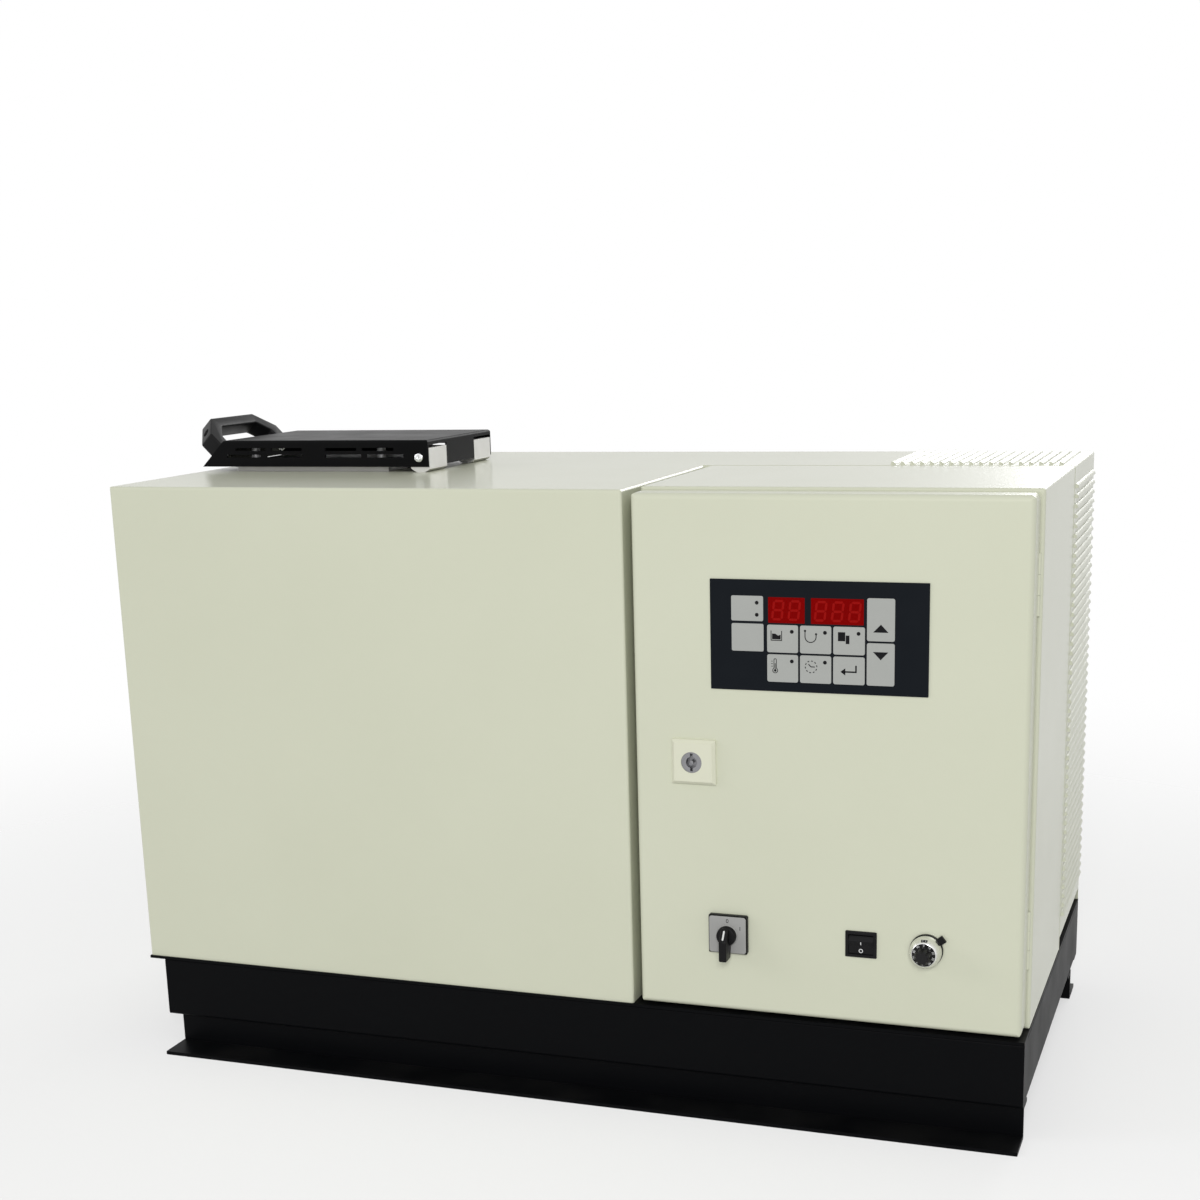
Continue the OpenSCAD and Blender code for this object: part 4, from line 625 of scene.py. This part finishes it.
def socket_coat(shade):
    """Flow marks and a coarse grain in dark grey, lighter towards the rim's level."""
    place = shade.place()
    flow = shade.noise(place, FLOW_PER_M, detail=4.0)
    grain = shade.noise(place, SOCKET_GRAIN_PER_M, detail=1.0)
    out = shade.node("ShaderNodeSeparateXYZ", {"Vector": place}, output=1)
    rim = shade.ramp(out, flange_y + RUBBED_FROM * MM, flange_y + RUBBED_FULL * MM, 0.0, RUBBED_MOST)
    body = shade.blend(flow, SOCKET_GREY, SOCKET_GREY_DEEP)
    return {
        "Base Color": shade.blend(rim * (0.7 + 0.6 * flow), body, SOCKET_RUBBED),
        "Roughness": SOCKET_ROUGH + FLOW_ROUGH * (flow - 0.5) + GRAIN_ROUGH * grain,
        "Normal": shade.bump(grain, SOCKET_GRAIN_DEEP, GRAIN_STRENGTH),
    }


def star_recess(r, h, angle):
    """Six-lobed recess: inside it the radius goes from 0.72 r to r as cos 6t."""
    return np.where(r <= STAR_R, r * (0.86 + 0.14 * np.cos(6 * angle)), r + 0 * angle)


grey_plastic = finish("grey_plastic", {"Specular IOR Level": 0.45}, moulded(
    (0.090, 0.090, 0.092, 1.0), (0.062, 0.062, 0.064, 1.0),
    roughness=0.5, grain_per_m=1400.0, depth=0.00006))
brass = finish("brass", METAL, metal(
    (0.80, 0.57, 0.24, 1.0), (0.70, 0.48, 0.19, 1.0),
    roughness=0.2, stretch=(1, 30, 1), per_metre=200.0, depth=0.00001))
socket_plastic = finish("socket_plastic", {"Specular IOR Level": 0.4}, socket_coat)
dress(grey_plastic, "terminal_blocks", "motor_drive", "controller_box", "potentiometer")
dress(socket_plastic, "socket_housings")
dress(brass, "socket_contacts")

sleeve = turned([(CONTACT_R, -CONTACT_L)] + [(CONTACT_R + r, h) for r, h in CONTACT_LIP], 32)
contact_y = flange_y + (INSERT_OUT - CONTACT_SUNK) * MM
contacts_at = [(x + column * MM, contact_y, socket_z + row * CONTACT_PITCH * MM)
               for x in socket_xs for column in CONTACT_COLUMNS for row in (-1, 0, 1)]
piece("contact_sleeves", joined([set_on(sleeve, BACK, at) for at in contacts_at]), brass, "housing",
      ["socket_contacts"], sharp=30)
# Black plastic plugs a little way down the sleeves are painted shade: they darken the inside of each bore,
# where shade falls.
bore_shade_plug = turned([(SHADE_PLUG_R, -SHADE_PLUG_FOOT), (SHADE_PLUG_R, -SHADE_PLUG_TOP), (SHADE_PLUG_DISH_R, -SHADE_PLUG_DISH)], 24)
piece("contact_bore_shade", joined([set_on(bore_shade_plug, BACK, at) for at in contacts_at]), black_plastic, "housing")

collar_profile = [(BOLT_R, -BOLT_L), (BOLT_R, 0), (WASHER_R - WASHER_EDGE, 0), (WASHER_R, 0.25),
                  (WASHER_R, WASHER_T - WASHER_EDGE), (WASHER_R - WASHER_EDGE, WASHER_T),
                  (CAP_R + 0.1, 1.15), (CAP_R, CAP_TOP - 1.0), (CAP_R - 0.25, CAP_TOP - 0.3),
                  (CAP_R - 0.75, CAP_TOP), (STAR_R, CAP_TOP), (STAR_R - STAR_TAPER, STAR_SEAT)]
collar_screw = turned(collar_profile, 48, star_recess)
screws_at = [(x + side * SCREW_X * MM, flange_y, socket_z + end * SCREW_Z * MM)
             for x in socket_xs for side in (-1, 1) for end in (-1, 1)]
piece("socket_collar_screws", joined([set_on(collar_screw, BACK, at) for at in screws_at]), zinc, "housing",
      ["socket_screws"], sharp=30)

# Door seal: a strip of foam, poured in a bead round the door's inside. It closes the gap to the
# cabinet's rim. Its pale, near-cream colour is painted light: it lightens the shaded gap between the
# door's edge and the cabinet.
seal_and_gap_light = finish("seal_foam", {"Specular IOR Level": 0.3}, moulded(
    (0.600, 0.605, 0.520, 1.0), (0.520, 0.525, 0.450, 1.0),
    roughness=0.75, grain_per_m=1100.0, depth=0.0003))
dress(seal_and_gap_light, "door_gasket")

# Lock: a cream moulded plate on the door with a die-cast barrel, which takes a double-bit key and turns
# the cam behind the door.
cream_plastic = finish("cream_plastic", {"Specular IOR Level": 0.5}, moulded(
    (0.700, 0.706, 0.565, 1.0), (0.675, 0.682, 0.540, 1.0),
    roughness=0.36, grain_per_m=900.0, depth=0.00003))
die_cast = finish("zinc_lock", METAL, metal(
    (0.30, 0.30, 0.31, 1.0), (0.20, 0.20, 0.21, 1.0),
    roughness=0.4, stretch=(1, 1, 1), per_metre=700.0, depth=0.00005))
dress(cream_plastic, "lock_plate")
dress(die_cast, "lock_barrel")

# Keypad: a dark printed film, stuck on the door, with a red display window, two fields at its left and
# eight raised keys. Prints lie a twentieth of a millimetre proud, as screen ink does.
INK = 0.05
FILM = {"Specular IOR Level": 0.06}
GLASS = {"Specular IOR Level": 0.03}
FILM_GRAIN_PER_M = 2600.0
FILM_GRAIN_DEEP = 0.00002
FILM_GRAIN_STRENGTH = 0.3
FILM_PATCH_PER_M = 40.0
FILM_ROUGH_MORE = 0.08
WINDOW = (59.0, 67.9, 153.8, 93.2)
WINDOW_GAP = (95.6, 101.8)
WINDOW_R = 0.6
LAMP_FIELD = (21.7, 69.2, 54.0, 94.0)
BLANK_FIELD = (21.9, 39.2, 54.3, 66.6)
FIELD_R = 1.6
LAMP_R = 1.9
LAMP_X = 47.6
LAMP_Y = (87.3, 75.4)
KEY_LAMP_AT = (24.8, 20.9)
DIGIT_W = 9.5
DIGIT_H = 18.0
DIGIT_X = (63.0, 79.4, 105.6, 122.4, 139.2)
BAR_W = 2.3
BAR_GAP = 0.35
LEAN = 0.12
KEYS = ["key_tank", "key_hose", "key_gun", "key_economy", "key_clock", "key_enter", "key_up", "key_down"]


def film(colour, other, roughness):
    """Paint function for printed polyester film: fine velvet grain under an even print."""
    def paint(shade):
        place = shade.place()
        grain = shade.noise(place, FILM_GRAIN_PER_M, detail=1.0)
        patch = shade.noise(place, FILM_PATCH_PER_M, detail=2.0)
        return {
            "Base Color": shade.blend(patch, colour, other),
            "Roughness": roughness + FILM_ROUGH_MORE * (patch - 0.5),
            "Normal": shade.bump(grain, FILM_GRAIN_DEEP, FILM_GRAIN_STRENGTH),
        }
    return paint


def block(x0, y0, x1, y1):
    """Corners of a box from its lower left to its upper right."""
    return [(x0, y0), (x1, y0), (x1, y1), (x0, y1)]


def printed(corners, radius=0.1, level=0.0):
    """Flat print of an outline, its back at the given level."""
    points, faces = slab(corners, radius, INK)
    return points + np.array([0, 0, level]), faces


def dot(x, y, r, level=0.0):
    """Round spot of ink or glass: a disc with its edge sloped in to 0.8 r."""
    points, faces = turned([(r, 0), (r, INK), (r * 0.8, INK * 1.6)], 24)
    return points + np.array([x, y, level]), faces


def stroke(path, width):
    """Line of ink along a path: its two sides lie half a width from the path, mitred where it turns, so a
    point moves (n1 + n2) / (1 + n1.n2) half widths between the normals n1 and n2 of its two stretches."""
    path = np.asarray(path, float)
    along = np.diff(path, axis=0)
    along /= np.linalg.norm(along, axis=1, keepdims=True)
    normal = np.stack([-along[:, 1], along[:, 0]], -1)
    before = np.concatenate([normal[:1], normal])
    after = np.concatenate([normal, normal[-1:]])
    across = (before + after) / (1 + (before * after).sum(1, keepdims=True)) * width / 2
    outline = np.concatenate([path - across, (path + across)[::-1]])
    low = np.column_stack([outline, np.zeros(len(outline))])
    high = np.column_stack([outline, np.full(len(outline), INK)])
    return skin(np.array([low, high]))


def arc(x, y, r, start, end, count=20):
    """Points on a circle from one angle to another, in degrees."""
    angle = np.radians(np.linspace(start, end, count))
    return np.stack([x + r * np.cos(angle), y + r * np.sin(angle)], -1)


def digit(x, y):
    """Seven bars of a display digit, leaning to the right: x grows by LEAN for each step in y."""
    half = BAR_W / 2
    tall = DIGIT_H / 2
    level_bar = np.array([
        (BAR_GAP + half, -half), (DIGIT_W - BAR_GAP - half, -half), (DIGIT_W - BAR_GAP, 0),
        (DIGIT_W - BAR_GAP - half, half), (BAR_GAP + half, half), (BAR_GAP, 0)])
    upright_bar = np.array([
        (-half, BAR_GAP + half), (0, BAR_GAP), (half, BAR_GAP + half),
        (half, tall - BAR_GAP - half), (0, tall - BAR_GAP), (-half, tall - BAR_GAP - half)])
    bars = [level_bar + (0, tall * k) for k in range(3)]
    bars += [upright_bar + (DIGIT_W * side, tall * k) for side in (0, 1) for k in (0, 1)]
    lean = np.array([[1, 0], [LEAN, 1]])
    return [printed(bar @ lean + (x, y), level=INK) for bar in bars]


keypad_film = finish("keypad_film", FILM, film(
    (0.0062, 0.0082, 0.0112, 1.0), (0.0080, 0.0100, 0.0130, 1.0), roughness=0.3))
key_film = finish("key_film", FILM, film(
    (0.405, 0.415, 0.395, 1.0), (0.385, 0.395, 0.375, 1.0), roughness=0.42))
dark_print = finish("dark_print", FILM, film(
    (0.008, 0.008, 0.009, 1.0), (0.012, 0.012, 0.013, 1.0), roughness=0.4))
white_print = finish("white_print", FILM, film(
    (0.72, 0.73, 0.72, 1.0), (0.68, 0.69, 0.68, 1.0), roughness=0.45))
red_window = finish("red_window", GLASS, film(
    (0.215, 0.0006, 0.0004, 1.0), (0.180, 0.0004, 0.0003, 1.0), roughness=0.2))
red_segment = finish("red_segment", GLASS, film(
    (0.300, 0.006, 0.005, 1.0), (0.280, 0.005, 0.004, 1.0), roughness=0.2))
dress(keypad_film, "keypad_overlay")
dress(key_film, *KEYS)

keypad_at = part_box("keypad_overlay")[0]
fields = [printed(block(*LAMP_FIELD), FIELD_R), printed(block(*BLANK_FIELD), FIELD_R)]
piece("keypad_fields", set_on(joined(fields), FRONT, keypad_at), key_film, "door")
panes = [printed(block(WINDOW[0], WINDOW[1], WINDOW_GAP[0], WINDOW[3]), WINDOW_R),
         printed(block(WINDOW_GAP[1], WINDOW[1], WINDOW[2], WINDOW[3]), WINDOW_R)]
piece("display_window", set_on(joined(panes), FRONT, keypad_at), red_window, "door")
digit_y = (WINDOW[1] + WINDOW[3] - DIGIT_H) / 2
digits = [bar for x in DIGIT_X for bar in digit(x, digit_y)]
piece("display_digits", set_on(joined(digits), FRONT, keypad_at), red_segment, "door")
lamps = [dot(LAMP_X, y, LAMP_R, INK) for y in LAMP_Y]
piece("status_lamps", set_on(joined(lamps), FRONT, keypad_at), dark_print, "door")

# Pictograms on the keys, in dark ink and in millimetres from each key's lower left corner. The first
# five keys have a lamp as well.
TRIANGLE_W = 15.0
TRIANGLE_H = 7.8
vessel = [stroke([(4, 21.5), (4, 12), (14.6, 12), (14.6, 21.5)], 0.8),
          printed([(5, 13), (13.6, 13), (13.6, 17.6), (11, 16.8), (8.2, 18.6), (5, 18.6)])]
hose = [stroke(np.concatenate([[(5, 21.5)], arc(10.5, 16.5, 5.5, 180, 360), [(16, 18.5)]]), 0.9),
        dot(5, 22.2, 1.1), dot(16, 19.2, 1.1)]
gun = [printed(block(4.6, 13.2, 11.8, 22)), printed(block(12.3, 10.6, 15.9, 18.9))]
bulb = np.concatenate([arc(8, 11.4, 2.5, 120, 420), arc(8, 21.8, 1.2, 0, 180, 10), [(6.8, 13.6)]])
thermometer = [stroke(bulb, 0.7), dot(8, 11.4, 1.3), stroke([(8, 11.4), (8, 18.5)], 0.7)]
thermometer += [stroke([(4, y), (5.6, y)], 0.6) for y in (15.5, 18, 20.5)]
clock = [stroke(arc(11, 16.2, 5.8, 36 * k, 36 * k + 18, 5), 0.9) for k in range(10)]
clock += [stroke([(8.4, 18.8), (11, 16.2), (14.8, 16.2)], 0.9)]
enter = [stroke([(22.5, 19), (22.5, 12.5), (11, 12.5)], 1.5),
         printed([(12, 8.9), (12, 16.1), (7.2, 12.5)])]
arrow_up = [printed([(6, 8.5), (6 + TRIANGLE_W, 8.5), (6 + TRIANGLE_W / 2, 8.5 + TRIANGLE_H)])]
arrow_down = [printed([(6, 33), (6 + TRIANGLE_W / 2, 33 - TRIANGLE_H), (6 + TRIANGLE_W, 33)])]
pictures = [vessel, hose, gun, thermometer, clock, enter, arrow_up, arrow_down]
for name, marks in zip(KEYS, pictures):
    lamp = [dot(*KEY_LAMP_AT, LAMP_R)] if name in KEYS[:5] else []
    form = set_on(joined(marks + lamp), FRONT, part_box(name)[0])
    piece(name + "_print", form, dark_print, name + "_cap")

# Mains switch: a black moulded frame with a light grey face plate, marked 0 and 1, and a bar handle
# with a white pointer line on its sloping end.
FACE_S = 38.8
FACE_T = 0.8
FACE_R = 2.6
FACE_EDGE = 0.7
BOSS_R = 11.6
BOSS_H = 3.0
NUMERAL_H = 4.2
ZERO_AT = (0, 15.0)
ONE_AT = (13.4, 7.6)
LEVER_W = 8
LEVER_H = 20
LEVER_UP = 9.4
LEVER_DOWN = 23.5
LEVER_FOOT = 3
LEVER_KNEE = -2
LEVER_TIP = 11
LEVER_EDGE = 1.2
LEVER_RADII = np.array([1.0, 1.5, 2.0, 3.0, 3.0, 1.0])
COLLAR_R = 10.4
COLLAR_H = 8
COLLAR_FOOT = 0.9
KNOB_GAP = 0.3
POINTER = (-0.9, -5.0, 0.9, 5.6)
POINTER_R = 0.8
POINTER_T = 0.1
SIDEWAYS = [(0, -1, 0), (0, 0, 1), (-1, 0, 0)]


def numeral(text, height):
    """Plain numeral as a thin solid, centred on the origin, from Blender's own font."""
    curve = bpy.data.curves.new("numeral", "FONT")
    curve.body = text
    curve.extrude = INK / 2
    holder = bpy.data.objects.new("numeral", curve)
    bpy.context.scene.collection.objects.link(holder)
    bpy.context.view_layer.update()
    mesh = holder.evaluated_get(bpy.context.evaluated_depsgraph_get()).to_mesh()
    points = np.zeros(len(mesh.vertices) * 3)
    mesh.vertices.foreach_get("co", points)
    points = points.reshape(-1, 3)
    faces = [list(face.vertices) for face in mesh.polygons]
    bpy.data.objects.remove(holder)
    bpy.data.curves.remove(curve)
    low, high = points[:, :2].min(0), points[:, :2].max(0)
    points[:, :2] = (points[:, :2] - (low + high) / 2) * height / (high[1] - low[1])
    points[:, 2] += INK / 2
    return points, faces


def moved(form, x, y, w=0.0):
    """Form moved in its own plane and out of it."""
    return form[0] + np.array([x, y, w]), form[1]


face_plate = finish("switch_face", FILM, film(
    (0.370, 0.370, 0.360, 1.0), (0.340, 0.340, 0.330, 1.0), roughness=0.4))
dress(black_plastic, "cam_switch", "cam_knob")
switch_lo, switch_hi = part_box("cam_switch")
switch_at = Vector(((switch_lo.x + switch_hi.x) / 2, switch_lo.y, (switch_lo.z + switch_hi.z) / 2))
face = slab(block(-FACE_S / 2, -FACE_S / 2, FACE_S / 2, FACE_S / 2), FACE_R, FACE_T, FACE_EDGE)
boss = turned([(BOSS_R, FACE_T / 2), (BOSS_R, FACE_T), (BOSS_R - 0.4, 1.4), (BOSS_R - 0.7, BOSS_H - 0.3),
               (BOSS_R - 1.0, BOSS_H)])
piece("switch_face_plate", set_on(joined([face, boss]), FRONT, switch_at), face_plate, "door")
positions = [moved(numeral("0", NUMERAL_H), *ZERO_AT, FACE_T),
             moved(numeral("1", NUMERAL_H), *ONE_AT, FACE_T)]
piece("switch_positions", set_on(joined(positions), FRONT, switch_at), dark_print, "door")

lever_corners = [(0, -COLLAR_R), (LEVER_FOOT, -LEVER_DOWN), (LEVER_H, -LEVER_DOWN), (LEVER_H, LEVER_KNEE),
                 (LEVER_TIP, LEVER_UP), (0, LEVER_UP)]
lever = slab(lever_corners, LEVER_RADII, LEVER_W, LEVER_EDGE, LEVER_EDGE)
knob_at = switch_at + Vector((0, -KNOB_GAP * MM, 0))
lever = set_on(lever, SIDEWAYS, knob_at + Vector((LEVER_W / 2 * MM, 0, 0)))
collar = turned([(COLLAR_R, COLLAR_FOOT), (COLLAR_R, 3), (COLLAR_R - 0.4, COLLAR_H - 1.2),
                 (COLLAR_R - 0.8, COLLAR_H - 0.3), (COLLAR_R - 1.6, COLLAR_H)])
piece("mains_knob", joined([lever, set_on(collar, FRONT, knob_at)]), black_plastic, "mains_switch_knob",
      ["cam_knob"])
slope = np.array([LEVER_TIP - LEVER_H, LEVER_UP - LEVER_KNEE], float)
slope /= np.linalg.norm(slope)
ON_LEVER = [(1, 0, 0), (0, -slope[0], slope[1]), (0, -slope[1], -slope[0])]
slope_mid = knob_at + Vector((0, -(LEVER_TIP + LEVER_H) / 2 * MM, (LEVER_UP + LEVER_KNEE) / 2 * MM))
pointer = slab(block(*POINTER), POINTER_R, POINTER_T)
piece("knob_pointer", set_on(pointer, ON_LEVER, slope_mid), white_print, "mains_switch_knob")

# Rocker switch: a black moulded bezel, snapped into the door, with a dished paddle that tilts on a pivot
# behind the sheet. The paddle is marked I and O in white.
PIVOT_IN = 6.0
TILT = np.radians(7)
PADDLE_OUT = 8.0
PADDLE_DISH = 0.8
PADDLE_RUN = {1: 4.6, -1: 9.2}
BAR_MARK = (-0.45, 0.5, 0.45, 3.8)
RING_R = 2.2
RING_IN_R = 1.4
RING_DOWN = 5.9
dress(black_plastic, "rocker_bezel", "rocker_paddle")
bezel_lo, bezel_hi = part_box("rocker_bezel")
pivot_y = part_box("cabinet_door")[0].y + PIVOT_IN * MM
pivot_at = Vector(((bezel_lo.x + bezel_hi.x) / 2, pivot_y, (bezel_lo.z + bezel_hi.z) / 2))


def on_paddle(form, side):
    """Form laid on the paddle's upper (1) or lower (-1) face: the face runs from the dish at the pivot's
    height to the paddle's knee or tip, and both are then turned by the paddle's tilt."""
    angle = TILT + np.arctan2(side * PADDLE_DISH, PADDLE_RUN[side])
    basis = [(1, 0, 0), (0, -np.sin(angle), np.cos(angle)), (0, -np.cos(angle), -np.sin(angle))]
    dish = PADDLE_OUT - PADDLE_DISH
    foot = pivot_at + Vector((0, -dish * np.cos(TILT) * MM, -dish * np.sin(TILT) * MM))
    return set_on(form, basis, foot)


bar_mark = printed(block(*BAR_MARK))
ring_mark = turned([(RING_IN_R, 0), (RING_R, 0), (RING_R, INK), (RING_IN_R, INK)], 40, ring=True)
ring_mark = moved(ring_mark, 0, -RING_DOWN)
piece("rocker_marks", joined([on_paddle(bar_mark, 1), on_paddle(ring_mark, -1)]), white_print, "rocker")

# Ten-turn dial: a satin silver housing with a small count window, a numbered skirt and a fluted black
# knob on the potentiometer's spindle, and a black brake lever behind.
DIAL_R = 16
DIAL_DEEP = 17
DIAL_BACK = 3.3
DIAL_EDGE = 0.5
BUSH_R = 8
BUSH_IN_R = 5.2
BUSH_FOOT = 0.05
WELL_R = 11.5
WELL_FLOOR = 6.5
BELL_CURVE = [(DIAL_R, 7), (15.85, 8.6), (15.4, 10.6), (14.7, 12.3), (13.8, 14.1), (12.9, 15.7),
              (12.4, 16.5), (12, 16.9), (11.75, DIAL_DEEP), (WELL_R, 16.85)]
COUNT_WINDOW = (-3.1, -1.4, 3.1, 1.4)
COUNT_WINDOW_T = 0.7
COUNT_H = 1.7
COUNT_X = 1.5
SKIRT_R = 11.2
SKIRT_FOOT = 6.9
SKIRT_TOP = 16.8
SKIRT_BORE_R = 4
KNOB_R = 8.6
KNOB_FOOT = 16.5
KNOB_TOP = 28
FLUTES = 8
FLUTE_DEEP = 1.8
FLUTE_FROM = 17.5
SCALE_R = 9.95
SCALE_H = 2.2


def fluted(r, h, angle):
    """Scallops round the grip: the radius falls by their depth times the square of (1 + cos 8t) / 2."""
    scallop = (0.5 + 0.5 * np.cos(FLUTES * angle)) ** 2
    return np.where(h > FLUTE_FROM, r - FLUTE_DEEP * scallop, r + 0 * angle)


def upright(form, degrees, r):
    """Form set round a circle with its foot towards the middle: turned by the angle less 90 degrees."""
    spin = np.radians(degrees - 90)
    turn_by = np.array([[np.cos(spin), np.sin(spin), 0], [-np.sin(spin), np.cos(spin), 0], [0, 0, 1]])
    return (form[0] + np.array([0, r, 0])) @ turn_by, form[1]


dial_silver = finish("dial_silver", METAL, metal(
    (0.82, 0.82, 0.81, 1.0), (0.74, 0.74, 0.72, 1.0),
    roughness=0.2, stretch=(1, 60, 1), per_metre=60.0, depth=0.00002))
grip_plastic = finish("grip_plastic", {"Specular IOR Level": 0.2}, moulded(
    (0.0075, 0.0075, 0.0080, 1.0), (0.0105, 0.0104, 0.0108, 1.0), roughness=0.3))
dress(dial_silver, "dial_ring")
dress(black_plastic, "dial_knob", "dial_brake")
ring_lo, ring_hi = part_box("dial_ring")
dial_at = Vector(((ring_lo.x + ring_hi.x) / 2, ring_hi.y, (ring_lo.z + ring_hi.z) / 2))
bell = [(BUSH_R, BUSH_FOOT), (BUSH_R, DIAL_BACK), (DIAL_R - DIAL_EDGE, DIAL_BACK),
        (DIAL_R, DIAL_BACK + DIAL_EDGE)] + BELL_CURVE
bell += [(WELL_R, WELL_FLOOR), (BUSH_IN_R, WELL_FLOOR), (BUSH_IN_R, BUSH_FOOT)]
piece("dial_housing", set_on(turned(bell, 96, ring=True), FRONT, dial_at), dial_silver, "door",
      ["dial_ring"], sharp=30)

bell_below, bell_mid, bell_above = BELL_CURVE[3:6]
WINDOW_TILT = np.arctan2(bell_below[0] - bell_above[0], bell_above[1] - bell_below[1])
ON_BELL = [(1, 0, 0), (0, np.cos(WINDOW_TILT), np.sin(WINDOW_TILT)),
           (0, -np.sin(WINDOW_TILT), np.cos(WINDOW_TILT))]
window_at = dial_at + Vector((0, -bell_mid[1] * MM, bell_mid[0] * MM))
count_window = slab(block(*COUNT_WINDOW), 0.3, COUNT_WINDOW_T, 0.1)
count_window = moved(count_window, 0, 0, -COUNT_WINDOW_T / 2)
piece("dial_count_window", set_on(count_window, ON_BELL, window_at), dark_print, "door")
counts = [moved(numeral("0", COUNT_H), x, 0, COUNT_WINDOW_T / 2) for x in (-COUNT_X, COUNT_X)]
piece("dial_count", set_on(joined(counts), ON_BELL, window_at), white_print, "door")

grip = turned([(KNOB_R, KNOB_FOOT), (KNOB_R, 17.4), (KNOB_R, 17.8), (KNOB_R - 0.4, 25.2),
               (KNOB_R - 0.9, 26.9), (KNOB_R - 2.2, KNOB_TOP)], 120, fluted)
skirt = turned([(SKIRT_BORE_R, SKIRT_FOOT), (SKIRT_R - 0.2, SKIRT_FOOT), (SKIRT_R, SKIRT_FOOT + 0.2),
                (SKIRT_R, SKIRT_TOP - 0.3), (SKIRT_R - 0.3, SKIRT_TOP)], 96)
piece("dial_grip", set_on(joined([grip, skirt]), FRONT, dial_at), grip_plastic, "dial",
      ["dial_knob"], sharp=30)
scale = [upright(moved(numeral(str(10 * k), SCALE_H), 0, 0, SKIRT_TOP), 90 - 36 * k, SCALE_R)
         for k in range(10)]
piece("dial_scale", set_on(joined(scale), FRONT, dial_at), white_print, "dial")

# Studio: a pale paper floor that thins out into a white surround, and three soft lamps, one before the
# object, one at its left and one behind it.
FLOOR_HALF = 4.0
FLOOR_NEAR = 0.7
FLOOR_FAR = 2.2
FLOOR_BODY = 0.45
PAPER = (0.96, 0.96, 0.96, 1.0)
PAPER_SHADE = (0.94, 0.94, 0.94, 1.0)
TOOTH_PER_M = 300.0
SURROUND = 0.45
MIDDLE = (0, 0, 0.35)


def floor_paint(shade):
    """White paper with the faintest tooth. It thins out with the distance from the object, into the white
    surround."""
    place = shade.place()
    tooth = shade.noise(place, TOOTH_PER_M)
    away = shade.node("ShaderNodeVectorMath", {0: place}, output="Value", operation="LENGTH")
    return {
        "Base Color": shade.blend(tooth, PAPER, PAPER_SHADE),
        "Alpha": shade.ramp(away, FLOOR_NEAR, FLOOR_FAR, FLOOR_BODY, 0.0, interpolation_type="SMOOTHSTEP"),
    }


def softbox(name, place, size, watts):
    """Square lamp of that size that faces the object's middle."""
    lamp = bpy.data.lights.new(name, "AREA")
    lamp.size = size
    lamp.energy = watts
    made = bpy.data.objects.new(name, lamp)
    made.location = place
    made.rotation_euler = (Vector(MIDDLE) - Vector(place)).to_track_quat("-Z", "Y").to_euler()
    bpy.context.scene.collection.objects.link(made)


floor_mesh = bpy.data.meshes.new("floor")
floor_corners = [(x, y, 0) for x, y in block(-FLOOR_HALF, -FLOOR_HALF, FLOOR_HALF, FLOOR_HALF)]
floor_mesh.from_pydata(floor_corners, [], [(0, 1, 2, 3)])
floor = bpy.data.objects.new("floor", floor_mesh)
bpy.context.scene.collection.objects.link(floor)
paper = finish("floor_paper", {"Roughness": 0.9, "Specular IOR Level": 0.1}, floor_paint)
floor_mesh.materials.append(paper)
softbox("key_lamp", (1.1, -3.4, 1.8), 1.1, 67)
softbox("side_lamp", (-3.2, -1.6, 1.6), 1.4, 20)
softbox("rear_lamp", (0.7, 3.4, 1.9), 1.6, 34)

world = bpy.data.worlds.new("surround")
bpy.context.scene.world = world
world.use_nodes = True
sky = Shade(world.node_tree)
rays = [sky.node("ShaderNodeLightPath", {}, output=f"Is {kind} Ray")
        for kind in ("Camera", "Glossy", "Transmission")]
seen = sky.math("MAXIMUM", sky.math("MAXIMUM", rays[0], rays[1]), rays[2])
background = world.node_tree.nodes["Background"]
background.inputs["Color"].default_value = (1, 1, 1, 1)
world.node_tree.links.new((SURROUND + (1 - SURROUND) * seen).socket, background.inputs["Strength"])
bpy.context.scene.view_settings.view_transform = "Standard"
